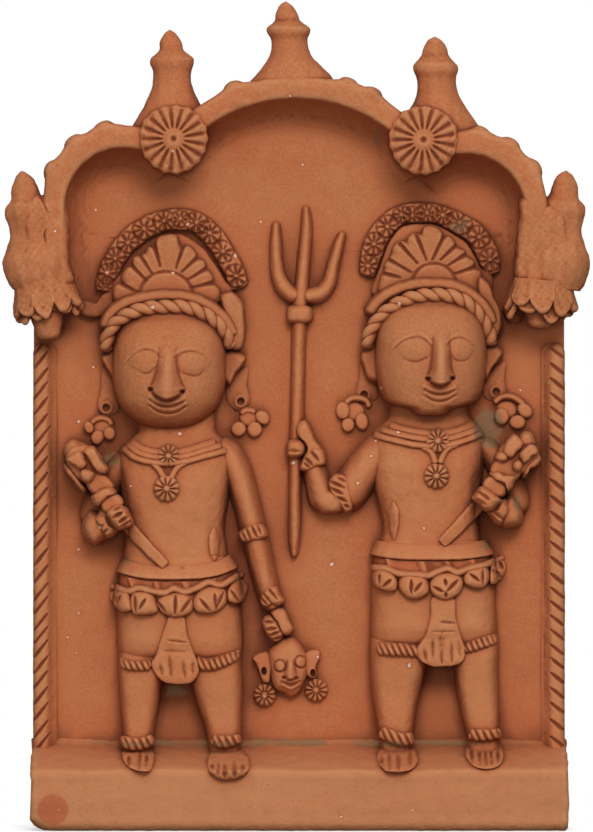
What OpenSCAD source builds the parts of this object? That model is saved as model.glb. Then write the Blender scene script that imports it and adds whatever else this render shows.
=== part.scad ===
// Fired clay plaque: two crowned guardians stand on a ledge under a three-lobed arch.
// Sizes are in millimetres. X runs to the right, Y runs back to the wall and Z runs up.
// The origin is the middle of the foot's bottom face.
// Left and right are as seen from the front. Paired values are [left, right].

/* [Slab] */
// Width of the slab that carries everything
slab_w = 266; // [240:1:290]
// Thickness of the slab
slab_t = 12; // [8:0.5:18]

/* [Plinth] */
// Height of the plinth's front face
base_h = 30; // [24:0.5:38]
// How far the plinth stands out from the slab
base_d = 38; // [34:0.5:46]
// How much the ledge climbs from its front edge to the slab
ledge_rise = 12; // [8:0.5:16]
// Radius of the ledge's front edge
ledge_round = 3; // [1:0.5:5]

/* [Border strips] */
// Width of the notched strip up each side
border_w = 8.5; // [7:0.5:11]
// How far the strips stand out from the slab
border_d = 7; // [5.5:0.5:10]
// Distance between two notches
notch_pitch = 8.5; // [7:0.5:12]
// Depth of a notch
notch_depth = 1.6; // [0.8:0.2:2.4]

/* [Arch] */
// Height of the arch's opening above the ledge's front edge
arch_h = 335; // [305:1:345]
// Width of the middle lobe's opening in percent of the slab's width
mid_lobe_share = 57; // [56:0.5:59]
// Width of each side lobe's opening in percent of the slab's width
side_lobe_share = [22.2, 23]; // [21:0.1:24]
// How far each side lobe's top lies below the arch's top
side_lobe_drop = [24.5, 27.5]; // [22:0.5:30]
// Width of the moulding
arch_w = 10.5; // [8:0.5:13]
// How far the moulding stands out from the slab
arch_d = 32; // [31:0.5:36]
// How much the opening narrows from the front of the moulding to the slab
arch_reveal = 5; // [3:0.5:7]
// Width of the short post under each end of the arch
post_w = [16, 19.5]; // [14:0.5:22]
// Radius of the lumps on the outer edge
lump_r = 5.5; // [4:0.5:6]

/* [Finials and rosettes] */
// Height of the middle finial above the moulding
top_finial_h = 38; // [34:1:44]
// Height of the side finials above the valley they stand in
side_finial_h = 53; // [48:1:58]
// Radius of the ring on a finial
finial_ring_r = 11; // [9:0.5:12]
// Radius of a rosette
rosette_r = 17; // [14:0.5:19]
// Height of a rosette
rosette_d = 6; // [4:0.5:8]
// Number of grooves on a rosette
rosette_grooves = 17; // [12:1:20]

/* [Turrets] */
// Largest radius of a turret
turret_r = 16; // [14:0.5:17]
// Height of a turret above its petals
turret_h = 58; // [52:1:62]
// Lean of the turrets to the outside
turret_lean = 9; // [4:1:11]
// Number of petals under a turret
turret_petal_count = 9; // [7:1:11]

/* [Bodies] */
// Place of each figure's middle from the slab's middle in percent of the slab's width
fig_share = [-22.4, 25.4]; // [-24:0.1:27]
// Height of each figure's hips above the ledge's front edge
leg_h = [48, 55]; // [44:0.5:58]
// Height from the bottom of the hips to the waist
hip_h = 57; // [54:0.5:60]
// Height from the waist to the shoulders
torso_h = 56.5; // [54:0.5:59]
// Width across the hips
hip_w = 61; // [57:0.5:64]
// Width across the chest
chest_w = 55; // [52:0.5:58]
// How far the bodies stand out from the slab
body_d = 23; // [19:0.5:26]
// Height of the head's middle above the shoulders
neck_h = 38; // [36:0.5:40]
// Radius of the head seen from the front
head_r = 28.5; // [27:0.5:30]
// How far the head stands out from the slab
head_d = 34; // [30:0.5:38]

/* [Headdress] */
// Thickness of the twisted rope round the head
rope_d = 6.5; // [5:0.5:8]
// Width of the plain roll above the rope
roll_w = 5.5; // [4:0.5:7]
// How far the headdress stands out from the slab
hat_d = 22; // [18:0.5:25]
// Number of petals in the crown
crown_petals = 9; // [7:2:11]
// Reach of the crown's middle petal above the crown's middle
crown_r = 33; // [30:0.5:34]
// How far the crown stands out from the slab
crown_d = 13; // [10:0.5:16]
// Radius of the halo behind the crown
halo_r = [37.5, 36.5]; // [35:0.5:39]
// How far the halo stands out from the slab
halo_d = 5; // [3:0.5:8]
// Number of stamped florets on a halo
halo_florets = 10; // [8:1:11]

/* [Dress] */
// Thickness of the thin strips laid on the bodies
strip_t = 2.4; // [1.6:0.2:3.2]
// Height of the waistband
belt_h = 9; // [7:0.5:10]
// Height of the frill below the waistband
frill_h = 9; // [7:0.5:10]
// Width of the kilt's middle petal, the others are narrower
kilt_petal_w = 20; // [17:0.5:20.5]
// Height of a petal of the kilt
kilt_petal_h = 12.5; // [10:0.5:14]
// Radius of the upper medallion, the lower one is a little larger
medallion_r = 6; // [5:0.5:7]

/* [Weapons] */
// Length of the clubs
club_len = 73; // [68:1:76]
// Lean of the clubs from upright
club_lean = 37; // [34:1:40]
// Length of the trident
trident_len = 176; // [168:1:182]
// Thickness of the trident's shaft
trident_w = 7; // [6:0.5:8]

/* [Part] */
// Which sub-part to show

/* [Hidden] */
$fn = 48;
clay = "#b8714a";
clay_red = "#ad6243";
clay_pale = "#c07c54";
gap = 0.3;
back_y = (slab_t + base_d) / 2;
wall_y = back_y - slab_t;
mid_lobe_r = slab_w * mid_lobe_share / 200;
side_lobe_r = slab_w / 200 * side_lobe_share;
mid_lobe = [-1.5, base_h + arch_h - mid_lobe_r];
post_top = mid_lobe.y + 10;
post_foot = mid_lobe.y - 18;
post_d = 13;
turret_u = 22;
turret_x = slab_w / 2 - 5.5;
hat_in = head_r + gap;
rope_r = hat_in + rope_d / 2;
hat_out = hat_in + rope_d + roll_w;
crown_rise = head_r + 5.5;
halo_rise = head_r + 13;
fig_x = slab_w / 100 * fig_share;
fig_h = max(leg_h) + hip_h + torso_h + neck_h + halo_rise + min(halo_r);
// Figures shrink where the arch is too low or the slab too narrow for them
fig = min(1, (arch_h - 50) / fig_h, slab_w / (4.36 * hip_w));
// Arms follow the torso and the face follows the head
limb = torso_h / 56.5;
face = head_r / 28.5;

// Height of the ledge at distance u in front of the slab
function ledge_z(u) = base_h + ledge_rise * (1 - u / base_d);

// The same height as a figure of scale fig meets it
function step_z(u) = base_h + ledge_rise * (1 / fig - u / base_d);

// Side -1 is left and 1 is right
function of_side(pair, side) = pair[side < 0 ? 0 : 1];
function side_lobe(side) = [
    side * (slab_w / 2 - of_side(post_w, side) - of_side(side_lobe_r, side)),
    base_h + arch_h - of_side(side_lobe_drop, side) - of_side(side_lobe_r, side)];

// Upper crossing of two circles, the valley between two lobes
function crossing(c, r, d, s, side) =
    let (v = d - c, l = norm(v), a = (r * r - s * s + l * l) / (2 * l), h = sqrt(r * r - a * a))
    c + v / l * a + [-v.y, v.x] / l * h * side;
function valley(side) = crossing(
    mid_lobe, mid_lobe_r + arch_w, side_lobe(side), of_side(side_lobe_r, side) + arch_w, side);

// Heights on figure f
function hip_z(f) = base_h + leg_h[f];
function waist_z(f) = hip_z(f) + hip_h;
function shoulder_z(f) = waist_z(f) + torso_h;
function head_z(f) = shoulder_z(f) + neck_h;
function torso_x(f) = fig_x[f] - 3;
function head_x(f) = fig_x[f] + [-6, -1.5][f];
// Side of the club arm
function club_side(f) = f == 0 ? -1 : 1;

// Curve through points, n steps from each point to the next
function bend(a, b, c, d, t) =
    b + 0.5 * t * (c - a + t * (2 * a - 5 * b + 4 * c - d + t * (3 * (b - c) + d - a)));
function curve(p, n) = [
    for (i = [0:len(p) - 2])
        for (k = [0:n - 1])
            bend(p[max(i - 1, 0)], p[i], p[i + 1], p[min(i + 2, len(p) - 1)], k / n),
    p[len(p) - 1]];

// Half an oval with a flat back: o is the middle of the back, a points across and b points out
function bulge(v, e) = sign(v) * pow(abs(v), 2 / e);
function half_oval(o, a, b, w, d, e, m) = [
    for (i = [0:m])
        let (t = 180 * i / m)
        o - a * w * bulge(cos(t), e) + b * d * bulge(sin(t), e)];

// Level oval ring round the point o
function oval(o, w, d, m) = [for (i = [0:m - 1]) o + [w * cos(360 * i / m), d * sin(360 * i / m), 0]];

// Closed skin over rings of equal point count
module loft(rings) {
    n = len(rings[0]);
    k = len(rings);
    sides = [
        for (j = [0:k - 2])
            for (i = [0:n - 1])
                let (a = j * n + i, b = j * n + (i + 1) % n)
                each [[a, b + n, b], [a, a + n, b + n]]];
    low = [for (i = [0:n - 1]) i];
    high = [for (i = [0:n - 1]) k * n - 1 - i];
    polyhedron([for (r = rings) each r], concat(sides, [low, high]));
}

// Clay roll laid on the slab, stations are [x, z, half width, depth, lift off the slab]
// Its rings lie square to its line, or level on an upright body
module roll(line, e = 2.3, m = 10, level = false) {
    k = len(line);
    loft([
        for (j = [0:k - 1])
            let (s = line[j], v = line[min(j + 1, k - 1)] - line[max(j - 1, 0)], l = norm([v[0], v[1]]),
                 a = level ? [1, 0, 0] : [v[1] / l, 0, -v[0] / l])
            half_oval([s[0], -s[4], s[1]], a, [0, -1, 0], s[2], s[3], e, m)]);
}

// The same roll with skin t laid over it
function thicker(line, t) = [for (s = line) [s[0], s[1], s[2] + t, s[3] + t, s[4]]];

// Puts shapes drawn on the slab's front face in their place
module on_wall() {
    translate([0, wall_y, 0])
        children();
}

// The same for a figure, which keeps its feet on the ledge when it is scaled
module on_figure(f) {
    translate([fig_x[f], wall_y, base_h])
        scale(fig)
            translate([-fig_x[f], 0, -base_h])
                children();
}

// Plinth as a figure meets it
module plinth_here(f) {
    translate([fig_x[f], 0, base_h])
        scale(1 / fig)
            translate([-fig_x[f], 0, -base_h])
                plinth_body();
}

// Plate from u0 to u1 in front of the slab, drawn as seen from the front
module plate(u0, u1) {
    translate([0, -u0, 0])
        rotate([90, 0, 0])
            linear_extrude(u1 - u0)
                children();
}

// Turned piece with its axis along Z, points are [radius, height]
module turned(p, n = 3) {
    c = curve(p, n);
    rotate_extrude()
        polygon(concat([[0, c[0].y]], [for (q = c) [max(q.x, 0), q.y]], [[0, c[len(c) - 1].y]]));
}

// Places children on a turret's leaning axis
module turret_axis(side) {
    translate([side * turret_x, -turret_u, post_foot])
        rotate([0, side * turret_lean, 0])
            children();
}

// Outline of slab and arch without lumps
module lobes(grow) {
    translate(mid_lobe)
        circle(mid_lobe_r + grow, $fn = 96);
    for (side = [-1, 1])
        translate(side_lobe(side))
            circle(of_side(side_lobe_r, side) + grow, $fn = 72);
}

module back_slab() {
    color(clay_red)
        on_wall()
            plate(-slab_t, 0) {
                lobes(arch_w - 1);
                translate([-slab_w / 2, 0])
                    square([slab_w, post_top]);
            }
}

module plinth_body() {
    r = ledge_round;
    slope = atan(ledge_rise / base_d);
    edge = [r - base_d, ledge_z(base_d - r) - r / cos(slope)];
    rotate([90, 0, 90])
        translate([0, 0, -slab_w / 2])
            linear_extrude(slab_w)
                polygon(concat(
                    [[0, 0], [0, ledge_z(0)]],
                    [for (i = [0:6])
                        let (t = 90 + slope + (90 - slope) * i / 6)
                        edge + r * [cos(t), sin(t)]],
                    [[-base_d, 0]]));
}

module base_plinth() {
    color(clay)
        on_wall()
            plinth_body();
}

// Strips with a half-round front and slanting notches
module border_strips() {
    r = border_w / 2;
    top = post_foot - 29;
    color(clay)
        on_wall()
            for (side = [-1, 1])
                let (x = side * (slab_w - border_w) / 2)
                    difference() {
                        translate([x, 0, 0])
                            linear_extrude(top) {
                                translate([-r, r - border_d])
                                    square([border_w, border_d - r]);
                                intersection() {
                                    translate([0, r - border_d])
                                        circle(r);
                                    translate([-r, -border_d])
                                        square([border_w, border_d]);
                                }
                            }
                        plinth_body();
                        for (z = [ledge_z(0) + 6:notch_pitch:top - 5])
                            translate([x, -border_d, z])
                                rotate([0, side * 48, 0])
                                    cube([3 * border_w, 2 * notch_depth, 1.8], center = true);
                    }
}

// Space under the arch, narrower at the slab
module arch_space() {
    x0 = -slab_w / 2 + post_w[0] + 1.5;
    x1 = slab_w / 2 - post_w[1] - 1.5;
    rotate([90, 0, 0]) {
        translate(concat(mid_lobe, -1))
            cylinder(arch_d + 2, mid_lobe_r - arch_reveal, mid_lobe_r, $fn = 96);
        for (side = [-1, 1])
            let (r = of_side(side_lobe_r, side))
                translate(concat(side_lobe(side), -1))
                    cylinder(arch_d + 2, r - arch_reveal, r, $fn = 72);
    }
    for (side = [-1, 1])
        plate(-1, arch_d + 1)
            translate([valley(side).x - side * 4, valley(side).y - 25])
                circle(12);
    loft([
        for (q = [[arch_d + 1, 0], [-1, arch_reveal]])
            [for (p = [[x0 + q[1], post_foot - 9], [x0 + q[1], post_top + 4],
                       [x1 - q[1], post_top + 4], [x1 - q[1], post_foot - 9]])
                [p.x, -q[0], p.y]]]);
}

module arch_body() {
    difference() {
        union() {
            plate(0, arch_d)
                difference() {
                    lobes(arch_w);
                    translate([-slab_w, post_top - 400])
                        square([2 * slab_w, 400]);
                }
            for (side = [-1, 1])
                for (q = [[0, post_d], [7.5, arch_d - 1]])
                    plate(0, q[1])
                        translate([side < 0 ? q[0] - slab_w / 2 : slab_w / 2 - post_w[1], post_foot])
                            square([of_side(post_w, side) - q[0], post_top + 1 - post_foot]);
        }
        arch_space();
    }
}

module arch_band() {
    color(clay)
        on_wall()
            arch_body();
}

// Lumps sit half sunk on the outer edge, spaced by angle round each lobe
module arch_lumps() {
    spots = [
        for (a = [111, 72.5, 64])
            mid_lobe + (mid_lobe_r + arch_w) * [cos(a), sin(a)],
        for (a = [104, 128, 153])
            side_lobe(-1) + (side_lobe_r[0] + arch_w - 1) * [cos(a), sin(a)],
        for (a = [80, 57, 34])
            side_lobe(1) + (side_lobe_r[1] + arch_w - 1) * [cos(a), sin(a)]];
    color(clay)
        on_wall()
            difference() {
                for (p = spots)
                    plate(7, arch_d - 3)
                        translate(p)
                            circle(lump_r, $fn = 32);
                plate(-1, arch_d)
                    lobes(arch_w);
                finial_pair();
            }
}

// Bud over a ring over a foot that spreads along the moulding, measured from the ring
module finial(x, tip) {
    r = finial_ring_r / 11;
    translate([x, -arch_d / 2, tip - 14.5]) {
        loft([
            for (q = [[-44, 27, 14.5], [-31, 21, 15], [-24.5, 16.5, 14.5], [-19, 13, 12.4],
                      [-13, 10.4, 10.4], [-9, 9.3, 9.3]])
                oval([0, 0, q[0]], q[1] * r, q[2], 24)]);
        turned([[8 * r, -16], [9 * r, -10], [9.2 * r, -7], [11 * r, -1.5], [10.6 * r, 1], [6.6, 3.5],
                [6.2, 7], [4.9, 11], [2.6, 13.6], [0, 14.5]], 2);
    }
}

module top_finial() {
    color(clay_pale)
        on_wall()
            difference() {
                finial(mid_lobe.x - 3.5, mid_lobe.y + mid_lobe_r + arch_w + top_finial_h);
                plate(-slab_t - 1, arch_d + 1)
                    lobes(arch_w);
            }
}

module finial_pair() {
    for (side = [-1, 1])
        finial(valley(side).x + 3, valley(side).y + side_finial_h);
}

module side_finials() {
    color(clay_pale)
        on_wall()
            difference() {
                finial_pair();
                plate(-slab_t - 1, arch_d + 1)
                    lobes(arch_w);
            }
}

// Domed disc with a dimple and radial grooves
module rosettes() {
    r = rosette_r;
    d = rosette_d;
    color(clay)
        on_wall()
            for (side = [-1, 1])
                translate([valley(side).x - side * 4, -arch_d, valley(side).y])
                    rotate([90, 0, 0])
                        difference() {
                            turned([[r, 0], [r - 0.6, d * 0.45], [r * 0.7, d * 0.9], [r * 0.4, d],
                                    [2.6, d * 0.96], [1.8, d * 0.55], [0, d * 0.5]], 2);
                            for (i = [1:rosette_grooves])
                                rotate([0, 0, 360 * i / rosette_grooves])
                                    translate([r * 0.42, 0, d])
                                        rotate([0, 14, 0])
                                            translate([0, -0.6, -1])
                                                cube([r, 1.2, 3]);
                        }
}

module turrets() {
    r = turret_r / 16;
    h = turret_h / 58;
    profile = [[12.6, 0], [14.8, 5], [16, 10], [15.7, 16], [11.6, 24], [10, 30.5], [11.8, 38], [11, 41.5],
               [7.2, 45.5], [6.6, 50], [4.4, 55], [0, 58]];
    color(clay)
        on_wall()
            for (side = [-1, 1])
                difference() {
                    turret_axis(side)
                        turned([for (p = profile) [p.x * r, p.y * h]], 2);
                    arch_body();
                    plate(-1, 80)
                        translate([post_w[0] - slab_w / 2, post_foot - 10])
                            square([slab_w - post_w[0] - post_w[1], 80]);
                }
}

// Hollow bell cut into round-ended petals, with longer petals on its back half
module turret_petals() {
    r = turret_r / 16;
    step = 360 / turret_petal_count;
    outside = [[12.4 * r, 0], [14 * r, -6], [17 * r, -15]];
    inside = [[14.2 * r, -15], [11.6 * r, -7], [9.2 * r, -3]];
    rear = [[10.4 * r, -2], [12.6 * r, -2], [15.5 * r, -22], [13 * r, -22]];
    color(clay_pale)
        on_wall()
            for (side = [-1, 1])
                difference() {
                    turret_axis(side)
                        difference() {
                            union() {
                                rotate_extrude()
                                    polygon(concat([[0, 0]], curve(outside, 3), curve(inside, 3), [[0, -3]]));
                                rotate_extrude(angle = 180)
                                    polygon(rear);
                            }
                            for (i = [1:turret_petal_count])
                                rotate([0, 0, step * i])
                                    petal_gap(14.2 * r, -15);
                            for (i = [0:turret_petal_count / 2])
                                rotate([0, 0, step * (i + 0.25)])
                                    petal_gap(13 * r, -22);
                        }
                    arch_body();
                }
}

// Radial cut between two round petal ends, whose tips lie at radius r and height z
module petal_gap(r, z) {
    w = PI * r / turret_petal_count;
    side = [for (t = [0:15:75]) [0.86 * w * (1 - sin(t)), w * (1 - cos(t)) - 0.01]];
    translate([0, 0, z])
        rotate([90, 0, 90])
            linear_extrude(30)
                polygon(concat(
                    [[0.86 * w, -9]], side, [[0.35, w * 1.4], [-0.35, w * 1.4]],
                    [for (i = [len(side) - 1:-1:0]) [-side[i].x, side[i].y]], [[-0.86 * w, -9]]));
}

module turret_drops() {
    color(clay_pale)
        on_wall()
            for (side = [-1, 1])
                turret_axis(side)
                    turned([[0, -26], [3.6, -25.4], [5.8, -22], [7.2, -14], [7.8, -6], [7.8, -3]], 2);
}

// Stations of the body from the hips up, kept free of dress
function leg_line(f, side) = [
    for (s = [[24.5, -8, 7, 17], [23, 16, 7.2, 18], [21, 28, 8.4, 20], [18.8, leg_h[f], 11.6, body_d - 1]])
        [fig_x[f] + [-0.5, 1][f] + side * s[0] * hip_w / 61, base_h + s[1], s[2], s[3], 0]];
function hip_line(f) = [
    [fig_x[f], hip_z(f), hip_w / 2, body_d - 1, 0],
    [fig_x[f], hip_z(f) + 0.4 * hip_h, hip_w / 2, body_d, 0],
    [fig_x[f] - 1, hip_z(f) + 0.8 * hip_h, hip_w / 2 - 1.5, body_d - 1, 0],
    [fig_x[f] - 2, waist_z(f), hip_w / 2 - 4, body_d - 3, 0]];
function torso_line(f) = curve([
    [torso_x(f) + 1, waist_z(f), chest_w / 2 - 1, body_d - 3, 0],
    [torso_x(f), waist_z(f) + 0.25 * torso_h, chest_w / 2 - 3.5, body_d - 3, 0],
    [torso_x(f), waist_z(f) + 0.7 * torso_h, chest_w / 2, body_d, 0],
    [torso_x(f), shoulder_z(f) - 4, chest_w / 2 + 1, body_d - 3, 0],
    [torso_x(f), shoulder_z(f) + 2, chest_w / 2 - 6, body_d - 7, 0],
    [torso_x(f), shoulder_z(f) + 6, 19.5, body_d - 9, 0],
    [torso_x(f), head_z(f) - head_r + 4, 19, body_d - 10, 0]], 2);
function head_line(f) = [
    for (i = [-5:5])
        let (p = 16 * i)
        [head_x(f), head_z(f) + head_r * (i < 0 ? 1.02 : 1.1) * sin(p),
         head_r * pow(cos(p), i < 0 ? [0.7, 0.52][f] : 0.8), head_d * pow(cos(p), 0.45), 0]];

module hips_body(f, t = 0) {
    roll(thicker(hip_line(f), t), 3, 10, true);
}

module torso_body(f, t = 0) {
    roll(thicker(torso_line(f), t), 2.6, 10, true);
}

module head_body(f) {
    roll(head_line(f), 2.3, 12, true);
}

// Strip of thickness t laid round the hips inside the outline that is drawn as a child
module on_hips(f, t) {
    difference() {
        intersection() {
            hips_body(f, t);
            plate(-1, 60)
                children();
        }
        hips_body(f);
    }
}

// Toes point forwards over the ledge, the sole lies on its slope
function foot_line(x) = [
    for (s = [[14, 6.5, 12], [20, 8, 13], [27, 9, 10], [34, 9.8, 7.5], [39, 9, 6], [42, 6.5, 4]])
        half_oval([x, -s[0], step_z(s[0])], [-1, 0, 0], [0, 0, 1], s[1], s[2], 2.4, 8)];
function foot_x(f, side) = fig_x[f] + [-0.5, 1][f] + side * [23, 23][f] * hip_w / 61;

module foot_body(f, side) {
    loft(foot_line(foot_x(f, side)));
}

module leg_body(f, side, t = 0) {
    roll(thicker(leg_line(f, side), t), 2.4, 10, true);
}

module legs(f) {
    color(clay)
        on_figure(f)
            for (side = [-1, 1])
                difference() {
                    leg_body(f, side);
                    plinth_here(f);
                }
}

module feet(f) {
    color(clay_pale)
        on_figure(f)
            for (side = [-1, 1])
                difference() {
                    foot_body(f, side);
                    leg_body(f, side);
                    for (i = [-1:1])
                        translate([foot_x(f, side) + 4.4 * i, -38, step_z(38) + 5])
                            cube([1.1, 14, 5], center = true);
                }
}

// Band round each ankle with slanting notches
module anklets(f) {
    low = step_z(0) - 1;
    color(clay_pale)
        on_figure(f)
            for (side = [-1, 1])
                difference() {
                    intersection() {
                        leg_body(f, side, strip_t);
                        translate([fig_x[f] - 100, -60, low])
                            cube([200, 60, 8]);
                    }
                    leg_body(f, side);
                    plinth_here(f);
                    foot_body(f, side);
                    for (i = [-2:2])
                        translate([foot_x(f, side) + 3.4 * i, -18 - strip_t, low + 4])
                            rotate([0, 28, 0])
                                cube([0.9, 3, 14], center = true);
                }
}

module hips(f) {
    color(clay)
        on_figure(f)
            hips_body(f);
}

module torso(f) {
    color(clay)
        on_figure(f)
            torso_body(f);
}

// Band round each thigh, parted by the sash
module thigh_garlands(f) {
    z = hip_z(f) + 2;
    color(clay_pale)
        on_figure(f)
            for (side = [-1, 1])
                difference() {
                    on_hips(f, strip_t)
                        translate([fig_x[f], z])
                            polygon([for (p = [[13.5, 0], [40, 2], [40, 9], [13.5, 7]]) [side * p.x, p.y]]);
                    for (i = [0:3])
                        translate([fig_x[f] + side * (16.5 + 4 * i), -body_d - strip_t, z + 4])
                            rotate([0, side * 30, 0])
                                cube([1, 4, 14], center = true);
                }
}

// Cloth end that hangs from under the kilt and widens to a gathered hem
module sash(f) {
    z = hip_z(f);
    u = body_d - 5;
    top = hip_h - belt_h - frill_h - kilt_petal_h - 1.6;
    color(clay_pale)
        on_figure(f)
            difference() {
                roll(curve([
                    for (s = [[top, 4.6, 9], [top * 0.7, 7, 9.4], [top * 0.35, 11, 9.6], [2, 13, 9.6],
                              [-3, 12, 8], [-5, 8.5, 5.5]])
                        [fig_x[f], z + s[0], s[1], s[2], u]], 2), 2.8);
                hips_body(f);
                for (side = [-1, 1])
                    leg_body(f, side);
                for (i = [-3:3])
                    translate([fig_x[f] + 3.2 * i, -u - 9.8, z])
                        rotate([0, -5 * i, 0])
                            cube([0.8, 2, 16], center = true);
            }
}

// Five leaves side by side below the frill, each with incised veins
module kilt_petals(f) {
    z = waist_z(f) - belt_h - frill_h - 1.4;
    h = kilt_petal_h;
    color(clay_pale)
        on_figure(f)
            difference() {
                for (i = [-2:2])
                    let (k = abs(i), x = fig_x[f] + [0, 0.87, 1.49][k] * kilt_petal_w * sign(i),
                         w = kilt_petal_w / 2 * [1, 0.7, 0.5][k], u = [12, 10, 0][k],
                         out = body_d + [4.4, 3.8, -1.5][k])
                        difference() {
                            roll([
                                for (s = [[0, 0.94, -0.4], [0.3, 1, 0], [0.6, 0.96, 0], [0.85, 0.72, -0.8],
                                          [1, 0.4, -2.6]])
                                    [x, z - h * s[0], w * s[1], out + s[2] - u, u]], 3.2, 8);
                            for (q = [-1:1])
                                translate([x + 0.35 * w * q, -out, z - h * 0.5])
                                    rotate([0, -18 * q, 0])
                                        cube([0.8, 2.4, h * 0.7], center = true);
                        }
                hips_body(f);
            }
}

// Wavy band under the waistband
module frill_outline(f) {
    translate([fig_x[f], waist_z(f) - belt_h])
        polygon(concat(
            [for (x = [-40:4:40]) [x, -1.6 * cos(x * 2.25)]],
            [for (x = [40:-4:-40]) [x, -frill_h + 1.3 * cos(x * 27)]]));
}

module frill(f) {
    color(clay)
        on_figure(f)
            on_hips(f, strip_t + 1.6)
                frill_outline(f);
}

module waistband(f) {
    z = waist_z(f);
    color(clay)
        on_figure(f)
            on_hips(f, strip_t)
                translate([fig_x[f], z])
                    polygon(concat(
                        [[-40, 2], [40, 2]],
                        [for (x = [40:-4:-40]) [x, -belt_h - 1.6 * cos(x * 2.25)]]));
}

// Face with almond eyes, a broad nose and thin lips
module head(f) {
    x = head_x(f);
    z = head_z(f);
    nose = face * [[13, 4, 11.5], [5, 3.6, 14.5], [-5, 5.6, 18], [-10, 8.6, 18], [-13.5, 7.6, 12]];
    eye = face * [[-7.4, 1.2, 7], [-4, 4.8, 10.6], [0, 5.6, 11.6], [4, 4.8, 10.6], [7.4, 1.2, 7]];
    lip = face * [[-8.5, 0.8, 5.5], [-4, 1.9, 7.5], [4, 1.9, 7.5], [8.5, 0.8, 5.5]];
    color(clay)
        on_figure(f)
            difference() {
                union() {
                    head_body(f);
                    roll([for (s = nose) [x, z + s[0], s[1], s[2], head_d - 12]], 2.2, 8);
                    for (side = [-1, 1])
                        roll([
                            for (s = eye)
                                [x + side * 12 * face + s[0], z + 4.5, s[1], s[2], head_d - 11]], 2.2, 8);
                    for (q = [0, 1])
                        roll([
                            for (s = lip)
                                [x + s[0], z - (17 + 4 * q) * face, s[1], s[2] - 2 * q, head_d - 7]], 2.2, 6);
                }
                torso_body(f);
            }
}

// Small pointed ear on a long pierced lobe
function lobe_x(f, side) = head_x(f) + side * (head_r + 5 * face);
function lobe_z(f) = head_z(f) - 18 * face;

module ear_body(f) {
    difference() {
        for (side = [-1, 1]) {
            plate(0, 3.4)
                translate([lobe_x(f, side), lobe_z(f)])
                    scale(face) {
                        circle(4, $fn = 24);
                        translate([-2.6, 0])
                            square([5.2, 20]);
                    }
            plate(0, 17)
                translate([head_x(f), head_z(f)])
                    polygon([
                        for (p = face * [[-3, 12], [11, 7], [12, 4], [8, 0], [-3, -3]])
                            [side * (head_r + p.x), p.y]]);
        }
        head_body(f);
        head_roll_body(f);
        for (side = [-1, 1])
            translate([lobe_x(f, side), 1, lobe_z(f)])
                rotate([90, 0, 0])
                    cylinder(10, r = 1.9, $fn = 24);
    }
}

module ears(f) {
    color(clay_pale)
        on_figure(f)
            ear_body(f);
}

// Three flattened pellets joined by a short disc under each lobe
module pellet(r) {
    turned([[r - 0.6, 0], [r, 3], [r * 0.8, 6], [r * 0.4, 7.4], [0, 7.8]], 2);
}

module earrings(f) {
    color(clay)
        on_figure(f)
            difference() {
                for (side = [-1, 1])
                    translate([lobe_x(f, side), 0, lobe_z(f)])
                        rotate([90, 0, 0])
                            scale(face) {
                                for (p = [[-1, -12, 5], [6.6, -13.5, 5], [10.4, -7, 4.8]])
                                    translate([side * p[0], p[1]])
                                        pellet(p[2]);
                                translate([side * 4, -7.6])
                                    cylinder(4.5, r = 5);
                            }
                ear_body(f);
            }
}

// Broad arched band, its outer half a plain roll
module head_roll_body(f) {
    translate([head_x(f), 0, head_z(f)])
        rotate([90, 0, 0])
            rotate([0, 0, 14])
                rotate_extrude(angle = 152, $fn = 96) {
                    translate([hat_in, 0])
                        square([rope_d + roll_w, hat_d]);
                    translate([hat_out - roll_w / 2, hat_d])
                        circle(roll_w / 2, $fn = 24);
                }
}

module head_roll(f) {
    color(clay)
        on_figure(f)
            difference() {
                head_roll_body(f);
                head_body(f);
            }
}

// Two strands twisted together, flat where they lie on the band
module head_rope(f) {
    turns = 8;
    steps = 48;
    color(clay_pale)
        on_figure(f)
            translate([head_x(f), -hat_d, head_z(f)])
                loft([
                    for (j = [0:steps])
                        let (a = 18 + 144 * j / steps, w = 360 * turns * j / steps,
                             thick = rope_d / 2 * (j % steps == 0 ? 0.7 : 0.93))
                        [for (i = [0:7])
                            let (t = 45 * i, r = thick * (1 + 0.17 * cos(2 * t - w)),
                                 q = rope_r - r * cos(t))
                            [q * cos(a), min(0, -rope_d * 0.4 - r * sin(t)), q * sin(a)]]]);
}

// Fan of round-ended petals round a plain half disc
module crown(f) {
    step = 186 / (crown_petals - 1);
    color(clay)
        on_figure(f)
            difference() {
                translate([head_x(f) - 1.5, 0, head_z(f) + crown_rise]) {
                    plate(0, crown_d - 2.5)
                        circle(crown_r * 0.74);
                    plate(0, crown_d + 1.5)
                        circle(crown_r * 0.37);
                    for (i = [0:crown_petals - 1])
                        let (a = -3 + step * i, far = crown_r * (0.83 + 0.17 * sin(a)),
                             w = far * 0.79 * tan(step / 2) - 0.25)
                            plate(0, crown_d)
                                rotate([0, 0, a]) {
                                    polygon([[8, 1.2], [far - w, w], [far - w, -w], [8, -1.2]]);
                                    translate([far - w, 0])
                                        circle(w, $fn = 24);
                                }
                }
                translate([head_x(f), 0, head_z(f)])
                    plate(-1, 60)
                        circle(hat_out, $fn = 96);
            }
}

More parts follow.
